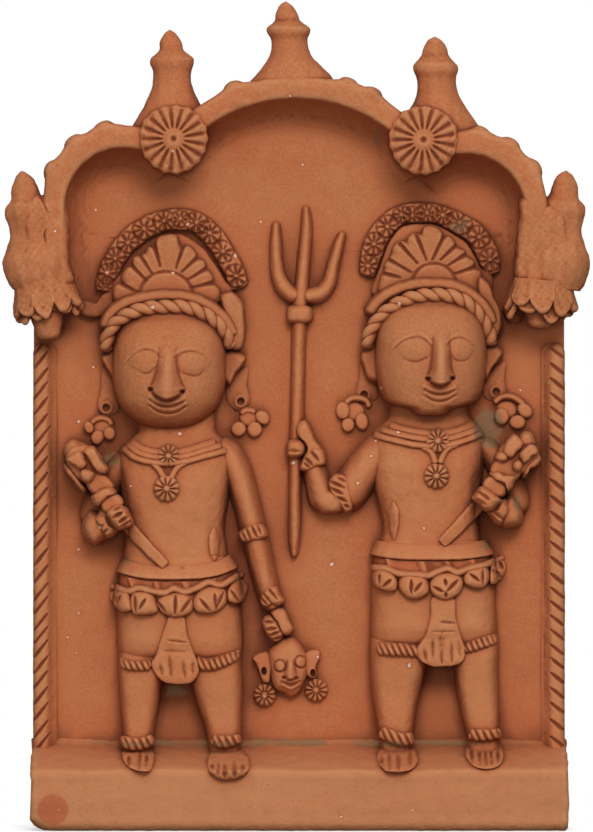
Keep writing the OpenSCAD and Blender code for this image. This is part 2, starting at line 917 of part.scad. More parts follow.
// Crescent behind the crown, stamped with florets
module halo(f) {
    c = [head_x(f) + 2, head_z(f) + halo_rise];
    color(clay_red)
        on_figure(f)
            difference() {
                union() {
                    plate(0, halo_d)
                        translate(c)
                            circle(halo_r[f], $fn = 96);
                    for (i = [0:halo_florets - 1])
                        let (a = -4 + 188 * i / (halo_florets - 1))
                            plate(0, halo_d + 1.4)
                                translate(c + (halo_r[f] - 4.8) * [cos(a), sin(a)])
                                    polygon([
                                        for (t = [0:15:345])
                                            (4 + 0.7 * cos(8 * t)) * [cos(t), sin(t)]]);
                }
                plate(-1, 60) {
                    translate([head_x(f) - 1.5, head_z(f) + crown_rise + 1.5])
                        circle(crown_r - 1.5 + gap, $fn = 96);
                    translate([head_x(f), head_z(f)])
                        circle(hat_out + gap, $fn = 96);
                    translate([head_x(f) - 60, head_z(f) - 60])
                        square([120, 60 + 28]);
                }
            }
}

// Collar and hanging V laid on the chest
module necklace(f) {
    z = shoulder_z(f) - 9;
    color(clay_pale)
        on_figure(f)
            difference() {
                intersection() {
                    torso_body(f, strip_t - 0.6);
                    plate(-1, 60)
                        translate([torso_x(f), z]) {
                            polygon(concat(
                                [for (x = [-32:4:32]) [x, 6 + 0.006 * x * x]],
                                [for (x = [32:-4:-32]) [x, -0.5 + 0.008 * x * x]]));
                            polygon([[-20, 1], [-11, 1], [0, -9], [11, 1], [20, 1], [0, -15]]);
                        }
                }
                torso_body(f);
                head_body(f);
                roll(club_arm_line(f), 2.3, 6);
                roll(f == 0 ? hanging_arm_line() : raised_arm_line(), 2.4, 6);
            }
}

// Two round pendants, one on the collar and one below its point
module medallions(f) {
    z = shoulder_z(f) - 9;
    color(clay)
        on_figure(f)
            difference() {
                for (q = [[1, medallion_r], [-14.5, medallion_r + 0.8]])
                    translate([torso_x(f), -body_d + 6, z + q[0]])
                        rotate([90, 0, 0])
                            turned([[q[1], 0], [q[1], 9], [q[1] - 1.6, 10.6], [q[1] * 0.5, 10], [0, 11]], 1);
                torso_body(f, strip_t - 0.6);
            }
}

// Upper arm hangs from the shoulder, the forearm comes forward to a fist round the club
function club_arm_line(f) = curve([
    for (s = limb * [[19, 0, 5, 12], [26, -6, 6.8, 14], [33, -18, 7.5, 15], [42, -36, 8, 17],
                     [43, -42, 7.5, 18]])
        [torso_x(f) + club_side(f) * s[0], shoulder_z(f) + s[1], s[2], s[3], 0]], 2);
function club_forearm_line(f) = curve([
    for (s = limb * [[48, -40, 6, 20], [42, -41, 7.6, 23], [35, -38, 6.8, 26], [28, -34, 6.4, 27],
                     [25, -32, 5, 26]])
        [torso_x(f) + club_side(f) * s[0], shoulder_z(f) + s[1], s[2], s[3], 4]], 2);

module club_arm_body(f) {
    s = club_len / 73;
    roll(club_arm_line(f), 2.3, 6);
    roll(club_forearm_line(f), 2.4, 6);
    club_axis(f)
        loft([
            for (q = [[24.5, 5, 5], [27, 7, 8], [32, 7.6, 8.6], [37, 7, 8], [39.5, 5, 5]])
                half_oval([0, 1.5, q[0] * s], [1, 0, 0], [0, -1, 0], q[1], q[2], 2.6, 8)]);
}

module club_arm(f) {
    color(clay_pale)
        on_figure(f)
            difference() {
                club_arm_body(f);
                torso_body(f);
                club_axis(f)
                    club_rod();
            }
}

// Places children on the club's axis, which starts at its lower tip
module club_axis(f) {
    translate([torso_x(f) + club_side(f) * 6.5 * limb, -body_d - 2.5, shoulder_z(f) - 59 * limb])
        rotate([0, club_side(f) * club_lean, 0])
            children();
}

module club_rod() {
    s = club_len / 73;
    turned([[0, 0], [2.6, 0.8], [3.7, 4], [4, 24 * s], [4, 43.5 * s], [7, 45 * s], [7, 49 * s],
            [4.2, 50.5 * s], [6.5, 56 * s], [4, 60 * s], [0, 61 * s]], 1);
}

// Turned handle with a collar and a head of five leaves
module club(f) {
    s = club_len / 73;
    leaf = [[53, 2, 3.5, 3], [58, 3, 5.5, 5], [65, 4.2, 6, 5.4], [70, 5, 4.6, 4.6], [73, 5.4, 2.4, 2.8]];
    color(clay)
        on_figure(f)
            difference() {
                club_axis(f) {
                    club_rod();
                    for (i = [0:4])
                        rotate([0, 0, 72 * i - 90])
                            loft([
                                for (q = leaf)
                                    half_oval(
                                        [q[1], 0, q[0] * s], [0, 1, 0], [1, 0, 0], q[2], q[3], 2.2, 8)]);
                }
                torso_body(f);
                roll(club_arm_line(f), 2.3, 6);
            }
}

// Left figure's arm hangs beside the hips and ends in a fist
function hanging_arm_line() = curve([
    for (s = limb * [[19, 0, 5, 13], [26, -6, 7, 15], [31, -20, 7.4, 16], [36.5, -42, 6.4, 15],
                     [41, -60, 6.2, 14], [46, -80, 5.2, 13]])
        [fig_x[0] + s[0], shoulder_z(0) + s[1], s[2], s[3], 0]], 2);

module left_hanging_arm() {
    color(clay_pale)
        on_figure(0)
            difference() {
                union() {
                    roll(hanging_arm_line(), 2.4, 6);
                    roll([
                        for (s = limb * [[45, -78, 5, 12], [46.5, -84, 7.4, 16], [48.5, -92, 8.4, 17],
                                         [50, -97, 7.6, 15], [50.5, -101, 5, 10]])
                            [fig_x[0] + s[0], shoulder_z(0) + s[1], s[2], s[3], 0]], 2.8, 8);
                }
                torso_body(0);
                hips_body(0, strip_t + 1.6);
                held_head_body();
                for (i = [-1:1])
                    translate([fig_x[0] + 48 * limb, -16.5 * limb, shoulder_z(0) - 91 * limb + 4.4 * i])
                        rotate([0, 12, 0])
                            cube([12, 3, 0.9], center = true);
            }
}

// Short band round a limb near station i of its line
module limb_band(line, i, h) {
    p = line[i];
    v = line[i + 1] - p;
    l = norm([v[0], v[1]]);
    roll(thicker([p - v * h / l / 2, p + v * h / l / 2], strip_t), 2.4, 6);
}

// Armlets and bracelets of both figures
module arm_rings() {
    color(clay_pale) {
        on_figure(0)
            difference() {
                union() {
                    limb_band(hanging_arm_line(), 6, 6);
                    limb_band(hanging_arm_line(), 9, 6);
                }
                roll(hanging_arm_line(), 2.4, 6);
                hips_body(0, strip_t + 1.6);
            }
        on_figure(1)
            difference() {
                union() {
                    limb_band(raised_arm_line(), 4, 6);
                    limb_band(raised_forearm_line(), 4, 5);
                }
                raised_arm_body();
                trident_body();
                torso_body(1);
            }
        for (f = [0, 1])
            on_figure(f)
                difference() {
                    limb_band(club_forearm_line(f), 3, 5);
                    club_arm_body(f);
                }
    }
}

// Right figure's arm rises from the elbow to grip the trident
function raised_arm_line() = curve([
    for (s = limb * [[-22, -1, 5, 12], [-29, -8, 7, 14], [-37, -19, 8, 15], [-47, -33, 8.6, 17],
                     [-53, -40, 7, 16]])
        [fig_x[1] + s[0], shoulder_z(1) + s[1], s[2], s[3], 0]], 2);
function raised_forearm_line() = curve([
    for (s = limb * [[-50, -42, 6.5, 16], [-54, -35, 8, 17], [-57.5, -24, 7, 17], [-62, -14, 6, 17]])
        [fig_x[1] + s[0], shoulder_z(1) + s[1], s[2], s[3], 0]], 2);

module raised_arm_body() {
    roll(raised_arm_line(), 2.4, 6);
    roll(raised_forearm_line(), 2.4, 6);
    for (line = [
        [[-60, -15, 4.5, 15], [-64, -11, 7.2, 18], [-69, -8, 8, 18], [-72.5, -6, 5.4, 14]],
        [[-66, -6, 3.4, 14], [-65, 1, 3.4, 13], [-64, 7, 2, 8]]])
        roll([for (s = limb * line) [fig_x[1] + s[0], shoulder_z(1) + s[1], s[2], s[3], 0]], 2.6, 6);
}

module right_raised_arm() {
    color(clay_pale)
        on_figure(1)
            difference() {
                raised_arm_body();
                torso_body(1);
                trident_body();
            }
}

// Leaf-shaped knife tucked behind each waistband, away from the club
module belt_knives() {
    color(clay)
        for (f = [0, 1])
            on_figure(f)
                difference() {
                    roll([
                        for (s = [[20, 1, 9], [14, 3, 11.4], [7, 3.6, 11.6], [0.2, 2.6, 11]])
                            [torso_x(f) - club_side(f) * 18, waist_z(f) + s[0], s[1], s[2], body_d - 15]],
                        2.2, 6);
                    torso_body(f);
                }
}

// Shaft, collar and three curved prongs, measured from the lower tip
module trident_body() {
    x = fig_x[1] - 70 * limb;
    z = shoulder_z(1) - 62.5 * limb;
    s = trident_len / 176;
    w = trident_w / 2;
    roll(curve([
        for (q = [[0, 0, 1.6, 5], [0.6, 20, w, 8], [2.5, 70, w, 8.5], [4, 118, w, 8.5],
                  [5, 134, w + 0.4, 8.5], [6, 160, 2.9, 7.5], [6.5, 176, 1, 5]])
            [x + q[0], z + q[1] * s, q[2], q[3], 0]], 2), 2.3, 8);
    translate([x + 4.5, 0, z + 122.5 * s])
        rotate([90, 0, 0])
            cylinder(10.5, r = 6.5, $fn = 32);
    for (line = [
        [[5, 126, 3.4], [-2, 130, 4], [-6.5, 138, 3.6], [-8, 150, 3.2], [-9.5, 162, 2.4], [-10, 168, 1]],
        [[5, 126, 3.4], [13, 128, 4], [19, 136, 3.6], [21.5, 146, 3.2], [23.5, 157, 2.4], [24, 163, 1]]])
        roll(curve([for (q = line) [x + q[0], z + q[1] * s, q[2], 6 + q[2] * 0.6, 0]], 2), 2.3, 8);
}

module trident() {
    color(clay)
        on_figure(1)
            trident_body();
}

// Severed head held by the left figure's fist
module held_head_body() {
    x = fig_x[0] + 54.5 * limb;
    z = shoulder_z(0) - 112 * limb;
    roll([
        for (i = [-4:4])
            let (p = 19 * i)
            [x, z + 14 * sin(p), 9.8 * pow(cos(p), 0.7), 12 * pow(cos(p), 0.5), 0]], 2.3, 8);
    roll([
        for (s = [[4, 1.4, 3], [-1, 2.6, 5.5], [-3.5, 2, 3.5]])
            [x + 1, z + s[0], s[1], s[2], 9.5]], 2.2, 6);
    for (side = [-1, 1])
        translate([x + side * 5.2, -10.2, z + 3.4])
            sphere(2.5, $fn = 20);
}

module held_head_ears() {
    x = fig_x[0] + 54.5 * limb;
    z = shoulder_z(0) - 112 * limb;
    for (side = [-1, 1])
        plate(0, 6)
            translate([x, z])
                difference() {
                    polygon([for (p = [[6, 9], [12, 8], [17.5, 3], [17.5, -3], [14, -5], [6, -4]])
                        [side * p.x * (side < 0 ? 1 : 0.85), p.y]]);
                    translate([side * 12.6, -1])
                        circle(1.6, $fn = 20);
                }
}

module held_head() {
    color(clay_pale)
        on_figure(0)
            union() {
                held_head_body();
                held_head_ears();
            }
}

// Stamped disc under each ear of the held head
module held_head_earrings() {
    x = fig_x[0] + 54.5 * limb;
    z = shoulder_z(0) - 112 * limb;
    color(clay)
        on_figure(0)
            for (p = [[-13, -14], [13.5, -11.5]])
                translate([x + p.x, 0, z + p.y])
                    rotate([90, 0, 0])
                        turned([[6, 0], [6, 4], [5, 5.4], [2.4, 5], [1.6, 5.8], [0, 6]], 1);
}

back_slab();
base_plinth();
border_strips();
arch_band();
arch_lumps();
top_finial();
side_finials();
rosettes();
turrets();
turret_petals();
turret_drops();
legs(0);  // left_legs
hips(0);  // left_hips
torso(0);  // left_torso
head(0);  // left_head
feet(0);  // left_feet
anklets(0);  // left_anklets
thigh_garlands(0);  // left_thigh_garlands
sash(0);  // left_sash
kilt_petals(0);  // left_kilt_petals
frill(0);  // left_frill
waistband(0);  // left_waistband
ears(0);  // left_ears
earrings(0);  // left_earrings
head_roll(0);  // left_head_roll
head_rope(0);  // left_head_rope
crown(0);  // left_crown
halo(0);  // left_halo
necklace(0);  // left_necklace
medallions(0);  // left_medallions
club_arm(0);  // left_club_arm
club(0);  // left_club
left_hanging_arm();
legs(1);  // right_legs
hips(1);  // right_hips
torso(1);  // right_torso
head(1);  // right_head
feet(1);  // right_feet
anklets(1);  // right_anklets
thigh_garlands(1);  // right_thigh_garlands
sash(1);  // right_sash
kilt_petals(1);  // right_kilt_petals
frill(1);  // right_frill
waistband(1);  // right_waistband
ears(1);  // right_ears
earrings(1);  // right_earrings
head_roll(1);  // right_head_roll
head_rope(1);  // right_head_rope
crown(1);  // right_crown
halo(1);  // right_halo
necklace(1);  // right_necklace
medallions(1);  // right_medallions
club_arm(1);  // right_club_arm
club(1);  // right_club
right_raised_arm();
trident();
held_head();
held_head_earrings();
arm_rings();
belt_knives();
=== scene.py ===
import bpy
import numpy as np
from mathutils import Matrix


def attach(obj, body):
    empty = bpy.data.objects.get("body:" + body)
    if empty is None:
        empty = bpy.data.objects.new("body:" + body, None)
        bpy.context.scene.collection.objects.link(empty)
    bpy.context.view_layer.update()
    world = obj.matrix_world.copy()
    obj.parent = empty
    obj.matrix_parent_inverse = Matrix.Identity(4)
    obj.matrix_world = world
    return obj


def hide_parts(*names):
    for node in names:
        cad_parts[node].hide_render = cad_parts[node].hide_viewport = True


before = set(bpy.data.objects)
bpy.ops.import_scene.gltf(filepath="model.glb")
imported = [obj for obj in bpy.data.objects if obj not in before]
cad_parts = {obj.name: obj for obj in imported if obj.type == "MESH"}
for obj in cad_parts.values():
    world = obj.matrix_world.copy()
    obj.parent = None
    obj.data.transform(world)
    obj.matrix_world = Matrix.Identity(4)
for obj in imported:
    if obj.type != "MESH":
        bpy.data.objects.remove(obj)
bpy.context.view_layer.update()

WALL = 13.0  # y of the slab's front face in millimetres, u is the distance in front of it
SLAB = 12.0  # thickness of the slab in millimetres
MM = 0.001
PI = np.pi
# Front drawing: column and row of the origin, and lines a millimetre
DRAWN_X, DRAWN_Z, RULED = 299, 829, 2


# Shapes as functions

def drawn(rows):
    """Rows of the front drawing, ruled in half millimetres from its upper left corner: the first two
    columns become x and z in millimetres from the origin, the other columns are kept."""
    p = np.array(rows, float)
    p[..., 0] = (p[..., 0] - DRAWN_X) / RULED
    p[..., 1] = (DRAWN_Z - p[..., 1]) / RULED
    return p


def step(a, b, v):
    """Soft step from 0 at a to 1 at b: 3 t^2 - 2 t^3."""
    t = np.clip((v - a) / (b - a), 0, 1)
    return t * t * (3 - 2 * t)


def bell(d, w):
    """Bell curve exp(-(d / w)^2)."""
    return np.exp(-(d / w) ** 2)


def dome(x, z, cx, cz, a, b, p=1.0):
    """Oval swelling (1 - (dx / a)^2 - (dz / b)^2)^p, zero outside its oval."""
    return np.clip(1 - ((x - cx) / a) ** 2 - ((z - cz) / b) ** 2, 0, 1) ** p


def uneven(p, size, seed):
    """Hand-made unevenness between about -1 and 1: seven sine waves of about the given length along
    fixed slanting directions, added up."""
    r = np.random.default_rng(seed)
    k = r.normal(size=(7, 3))
    k *= 2 * PI / size * r.uniform(0.6, 1.5, (7, 1)) / np.linalg.norm(k, axis=1, keepdims=True)
    return np.sin(p @ k.T + r.uniform(0, 2 * PI, 7)).sum(-1) / 3.5


def hermite(knots, rows, s):
    """Smooth curve through rows at the given knots: cubic pieces whose slopes come from the
    neighbouring rows, read at s."""
    m = np.gradient(rows, knots, axis=0)
    i = np.clip(np.searchsorted(knots, s, "right") - 1, 0, len(knots) - 2)
    h = (knots[i + 1] - knots[i])[..., None]
    t = np.clip((s - knots[i])[..., None] / h, 0, 1)
    return ((2 * t ** 3 - 3 * t ** 2 + 1) * rows[i] + (t ** 3 - 2 * t ** 2 + t) * h * m[i]
            + (3 * t ** 2 - 2 * t ** 3) * rows[i + 1] + (t ** 3 - t ** 2) * h * m[i + 1])


def follow(rows, n):
    """n rows evenly spaced along the smooth curve through the given rows, measured in two columns."""
    p = np.asarray(rows, float)
    d = np.r_[0, np.cumsum(np.linalg.norm(np.diff(p[:, :2], axis=0), axis=1))]
    return hermite(d, p, np.linspace(0, d[-1], n))


def closed(points, n):
    """n points evenly spaced along the smooth closed curve through the points."""
    p = np.asarray(points, float)
    k = len(p)
    q = np.concatenate([p[-3:], p, p[:4]])
    d = np.r_[0, np.cumsum(np.linalg.norm(np.diff(q, axis=0), axis=1))]
    return hermite(d, q, np.linspace(d[3], d[k + 3], n, endpoint=False))


def along(x, z, start, end):
    """Place t of the nearest point on a straight line, from 0 at its start to 1 at its end, and the
    distance to that point."""
    (ax, az), (bx, bz) = start, end
    dx, dz = bx - ax, bz - az
    t = np.clip(((x - ax) * dx + (z - az) * dz) / (dx * dx + dz * dz), 0, 1)
    return t, np.hypot(x - ax - t * dx, z - az - t * dz)


def off_line(x, z, line):
    """Distance from a bent line: the least of the distances from its straight pieces."""
    best = np.full(np.shape(x), 1e9)
    for start, end in zip(line[:-1], line[1:]):
        best = np.minimum(best, along(x, z, start, end)[1])
    return best


def scored(x, z, rows, w):
    """Tool line along a smooth curve of the front drawing: bell curve of the distance, w wide."""
    return bell(off_line(x, z, follow(drawn(rows), 24)), w)


def put(x, u, z):
    """Grid of points from x, the distance u in front of the slab and z."""
    return np.stack(np.broadcast_arrays(x, WALL - u, z), -1)


def power(v, e):
    """Signed power of a cosine or sine that squares up an oval: sgn(v) |v|^(2 / e)."""
    return np.sign(v) * np.abs(v) ** (2 / e)


def half_oval(e, m):
    """m points evenly spaced along a squared half oval: across from -1 to 1, up from 0 over 1 to 0."""
    t = np.linspace(0, PI, 4001)
    c, v = -power(np.cos(t), e), power(np.sin(t), e)
    run = np.r_[0, np.cumsum(np.hypot(np.diff(c), np.diff(v)))]
    s = np.linspace(0, run[-1], m)
    return np.interp(s, run, c), np.interp(s, run, v)


def ends_in(run, r0, r1):
    """Rounding at both ends of a run: sqrt(1 - (1 - q / r)^2) within r of an end, else 1."""
    k = np.ones_like(run)
    for q, r in ((run - run[0], r0), (run[-1] - run, r1)):
        if r > 0:
            k = k * np.sqrt(np.clip(1 - (1 - np.clip(q / r, 0, 1)) ** 2, 0.0004, 1))
    return k


def with_back(x, u, z, low, sink=1.5):
    """Grid of half rings closed by a flat back sunk below what carries them."""
    low = np.broadcast_to(low, u.shape)
    pad0, pad1 = low[:, :1] - sink, low[:, -1:] - sink
    x = np.concatenate([x[:, :1], x, x[:, -1:]], 1)
    z = np.concatenate([z[:, :1], z, z[:, -1:]], 1)
    return put(x, np.concatenate([pad0, u, pad1], 1), z)


def roll(rows, base=0.0, n=69, m=26, e=2.2, ends=(1, 1), flare=1.0, detail=None):
    """Clay roll pressed on: rows are [x, z, half width, height]. Across the roll t runs from 0 to pi,
    the side is -width cos(t)^(2/e), the height over its base is height sin(t)^(2/e), the foot spreads
    by flare, and both ends are rounded over ends times their width. The base is a level or a function
    of x and z; detail(x, z) is added on top."""
    x, z, w, d = follow(rows, n).T
    run = np.r_[0, np.cumsum(np.hypot(np.diff(x), np.diff(z)))]
    dx, dz = np.gradient(x, run), np.gradient(z, run)
    long = np.maximum(np.hypot(dx, dz), 1e-6)
    dx, dz = dx / long, dz / long
    k = ends_in(run, ends[0] * w[0], ends[1] * w[-1])
    c, v = half_oval(e, m)
    side = (w * k)[:, None] * c + flare * k[:, None] * np.sign(c) * (1 - v) ** 4
    x, z = x[:, None] + dz[:, None] * side, z[:, None] - dx[:, None] * side
    low = base(x, z) if callable(base) else base + 0 * x
    u = low + (d * k ** 0.8)[:, None] * v
    if detail is not None:
        u = u + detail(x, z) * step(0.15, 0.6, v)
    return with_back(x, u, z, low)


class Body:
    """Upright lump with a flat back: rows are [z, middle x, half width, depth]. At height z and
    angle t (0 at its left edge, pi at its right edge) it lies at x = middle - width cos(t)^(2/e),
    u = depth sin(t)^(2/e)."""

    def __init__(self, rows, e):
        self.rows = np.array(rows, float)
        self.e = e

    def size(self, z):
        """Middle x, half width and depth at height z."""
        return hermite(self.rows[:, 0], self.rows[:, 1:], np.asarray(z, float))

    def at(self, z, t):
        """x and u at height z and angle t."""
        s = self.size(z)
        return (s[..., 0] - s[..., 1] * power(np.cos(t), self.e), s[..., 2] * power(np.sin(t), self.e))

    def out(self, x, z):
        """u at x and z: depth (1 - q^e)^(1/e), with q the share of the half width."""
        s = self.size(z)
        q = np.clip(np.abs((x - s[..., 0]) / s[..., 1]), 0, 1)
        return s[..., 2] * (1 - q ** self.e) ** (1 / self.e)

    def grid(self, n, m, flare):
        """n rings of m points up the body, whose foot at the slab spreads by flare."""
        z = np.linspace(self.rows[0, 0], self.rows[-1, 0], n)[:, None]
        c, v = half_oval(self.e, m)
        s = self.size(z[:, 0])[:, :, None]
        x = s[:, 0] + s[:, 1] * c + flare * np.sign(c) * (1 - v) ** 4
        return with_back(x, s[:, 2] * v, z + 0 * x, 0.0)


def band(body, line, high, thick, gap, m, p, lean=0.0, detail=None, n=260):
    """Strip laid round an upright body: t runs round the body, v from the lower edge (-1) to the
    upper edge (1), and it stands thick (1 - lean v) (1 - |v|^p)^(1/p) off the body. line(t) is its
    middle height, and both ends stay an angle gap short of the slab."""
    t = np.linspace(gap, PI - gap, n)[:, None]
    v = np.sin(np.linspace(-PI / 2, PI / 2, m))[None]
    z = line(t) + high / 2 * v
    x, u = body.at(z, t + 0 * v)
    nx, nu = -np.gradient(u, axis=0), np.gradient(x, axis=0)
    long = np.maximum(np.hypot(nx, nu), 1e-9)
    off = thick * (1 - lean * v) * (1 - np.abs(v) ** p) ** (1 / p) + 0 * t
    if detail is not None:
        off = off + detail(x, z, t, v)
    off[:, [0, -1]] = -1.2
    return put(x + nx / long * off, u + nu / long * off, z)


def pad(edge, high, base=0.0, p=2.6, sink=1.5, rings=18, n=74, detail=None, tilt=(0.0, 0.0)):
    """Domed pad: from rim (r = 1) to middle (r = 0) it rises over its base by high (1 - r^p)^(1/p).
    The base is a level or a function of x and z, and tilt adds a slope along x and z."""
    c = closed(edge, n)
    mid = c.mean(0)
    r = np.r_[1, np.cos(np.linspace(0, PI / 2 * 0.985, rings))][:, None]
    x = mid[0] + r * (c[:, 0] - mid[0])
    z = mid[1] + r * (c[:, 1] - mid[1])
    low = base(x, z) if callable(base) else base + 0 * x
    u = low + tilt[0] * (x - mid[0]) + tilt[1] * (z - mid[1]) + high * (1 - r ** p) ** (1 / p)
    if detail is not None:
        u = u + detail(x, z, r)
    u[0] = low[0] - sink
    return put(x, u, z)


def oval(cx, cz, a, b=None, turn=0.0):
    """24 points of an oval with half sizes a and b, turned by an angle."""
    t = np.linspace(0, 2 * PI, 24, endpoint=False)
    b = a if b is None else b
    c, s = np.cos(turn), np.sin(turn)
    x, z = a * np.cos(t), b * np.sin(t)
    return np.stack([cx + x * c - z * s, cz + x * s + z * c], -1)


def turned(rows, foot, lean, n, m=43, flat=1.0, ripple=None):
    """Turned piece: rows are [radius, height] along an axis that starts at foot = (x, u, z) and
    leans by an angle to the right. Round the axis by an angle f the radius is scaled by ripple(h, f), and
    flat is the share of depth to width."""
    r, h = follow(rows, n).T
    f = np.linspace(0, 2 * PI, m, endpoint=False)[None]
    r, h = np.maximum(r, 0.02)[:, None], h[:, None]
    if ripple is not None:
        r = r * ripple(h, f)
    a, b = r * np.cos(f), r * np.sin(f) * flat
    c, s = np.cos(lean), np.sin(lean)
    return put(foot[0] + a * c + h * s, foot[1] - b, foot[2] - a * s + h * c)


def rope(rows, r, pitch, deep, n=493, m=34):
    """Twisted rope along rows [x, z, u]: round its line by an angle f at the run s the radius is
    r (1 - deep + deep 1.25 |cos(f + pi s / pitch)|^0.6), so two strands wind round each other."""
    x, z, u = follow(rows, n).T
    run = np.r_[0, np.cumsum(np.hypot(np.diff(x), np.diff(z)))]
    dx, dz = np.gradient(x, run)[:, None], np.gradient(z, run)[:, None]
    k = ends_in(run, r * 0.8, r * 0.8)[:, None]
    f = np.linspace(0, 2 * PI, m, endpoint=False)[None]
    q = r * k * (1 - deep + 1.25 * deep * np.abs(np.cos(f + PI * run[:, None] / pitch)) ** 0.6)
    side, high = q * np.cos(f), q * np.sin(f)
    return put(x[:, None] + dz * side, u[:, None] + high, z[:, None] - dx * side)


def normals(g):
    """Outward unit normals of a grid that closes sideways: cross product of its two differences,
    turned so that the enclosed volume counts as positive."""
    a = np.gradient(g, axis=0)
    b = np.roll(g, -1, 1) - np.roll(g, 1, 1)
    c = np.cross(a, b)
    if np.sum(c * (g - g.mean((0, 1)))) < 0:
        c = -c
    return c / np.maximum(np.linalg.norm(c, axis=-1, keepdims=True), 1e-9)


def relief_of(g, nrm):
    """How hollow (positive) or raised (negative) each point lies: how far the mean of its neighbours,
    about a millimetre away both ways, stands above it, in quarter millimetres."""
    gaps = (np.median(np.linalg.norm(np.diff(g, axis=k), axis=-1)) for k in (0, 1))
    i, j = (int(np.clip(round(1.0 / max(gap, 0.05)), 1, 6)) for gap in gaps)
    e = np.concatenate([np.repeat(g[:1], i, 0), g, np.repeat(g[-1:], i, 0)])
    mean = (e[2 * i:] + e[:-2 * i] + np.roll(g, j, 1) + np.roll(g, -j, 1)) / 4
    return np.clip(np.sum((mean - g) * nrm, -1) / 0.25, -1, 1)


KILN = []  # pieces laid out for firing
# Height map: side of its squares, their counts along x and z, and the corner they start from
CELL, COLUMNS, ROWS, CORNER_X, CORNER_Z = 0.5, 640, 880, -160, -10
DIRECTIONS = 16
# The second mark is the share of hidden view, which the clays paint into their colour as shade.
MARKS = ("relief", "painted_shade", "slip", "wash")
DISTANCES = (0.8, 1.5, 2.5, 4.0, 6.5, 10.0, 15.0, 22.0)
# Thin grey slip left on the clay: place and half sizes on the front drawing, and how much
SLIP = [(299, 744, 262, 4, 0.8), (489, 428, 17, 22, 1.4), (111, 459, 12, 8, 0.9), (378, 136, 5, 11, 0.9),
        (507, 200, 5, 11, 0.9), (460, 224, 13, 10, 0.9), (177, 692, 16, 8, 0.8), (127.5, 562, 4, 8, 0.55),
        (486, 546, 10, 6, 0.7), (517, 503, 5, 10, 0.8), (88, 525, 7, 17, 0.6), (71, 207, 4, 8, 0.5)]


def fired(node, grids, clay, hand=0.16, wash=0.0):
    """Lays out one clay piece for its node: each grid gets hand-made unevenness along its normals. Wash
    says, for the piece or for each grid, how much paler (1) or redder (-1) its clay is."""
    shaped = []
    for g, tint in zip(grids, np.broadcast_to(wash, len(grids))):
        nrm = normals(g)
        rough = hand * uneven(g, 9.0, 3) + 0.5 * hand * uneven(g, 3.6, 5)
        shaped.append((g + nrm * rough[..., None], nrm, tint))
    KILN.append((node, shaped, clay))


def squares(x, z):
    """Column and row of the height map's square under each point."""
    return (np.clip((x - CORNER_X) / CELL, 0, COLUMNS - 1).astype(int),
            np.clip((z - CORNER_Z) / CELL, 0, ROWS - 1).astype(int))


def skyline():
    """Height map of the whole plaque from the front: the farthest u over every half millimetre square, from
    points filled in evenly between the grid points of all pieces."""
    top = np.full((COLUMNS, ROWS), -SLAB)
    for _, shaped, _ in KILN:
        for g, _, _ in shaped:
            e = np.concatenate([g, g[:, :1]], 1)
            gaps = (np.percentile(np.linalg.norm(np.diff(e, axis=k), axis=-1), 98) for k in (0, 1))
            a, b = (int(np.ceil(gap / (0.9 * CELL))) for gap in gaps)
            for i in range(a):
                row = e[:-1] + (e[1:] - e[:-1]) * (i / a)
                for j in range(b):
                    p = row[:, :-1] + (row[:, 1:] - row[:, :-1]) * (j / b)
                    k, r = squares(p[..., 0], p[..., 2])
                    np.maximum.at(top.reshape(-1), (k * ROWS + r).ravel(), WALL - p[..., 1].ravel())
    return top


def hidden(g, nrm, top):
    """Share of the view in front of each point that nearby clay hides, which the clays paint as shade: in 16
    directions the steepest slope up to the height map within 22 mm, less the slope of the surface itself, as
    sines, averaged and smoothed; slopes to clay beyond 7 mm count for less."""
    x, z, u = g[..., 0], g[..., 2], WALL - g[..., 1]
    out = np.maximum(-nrm[..., 1], 0.15)
    total = 0 * x
    for f in np.arange(DIRECTIONS) * 2 * PI / DIRECTIONS:
        c, s = np.cos(f), np.sin(f)
        own = np.clip(-(nrm[..., 0] * c + nrm[..., 2] * s) / out, -5, 5)
        far = own
        for r in DISTANCES:
            rise = top[squares(x + r * c, z + r * s)] - u - 0.12
            far = np.maximum(far, rise / r * np.clip(1.2 - r / 35, 0, 1))
        total = total + far / np.sqrt(1 + far ** 2) - own / np.sqrt(1 + own ** 2)
    total = (total + np.roll(total, 1, 1) + np.roll(total, -1, 1)) / (3 * DIRECTIONS)
    return (total + total[np.r_[0, 0:len(total) - 1]] + total[np.r_[1:len(total), -1]]) / 3


def slip_on(g):
    """Strength of the slip patches at each point in front: the square root of an oval swelling."""
    x, z = g[..., 0], g[..., 2]
    out = 0 * x
    for cx, cz, a, b, s in drawn(SLIP):
        out = np.maximum(out, s * dome(x, z, cx, cz, a / 2, b / 2, 0.5))
    return out * (g[..., 1] < WALL + 2)


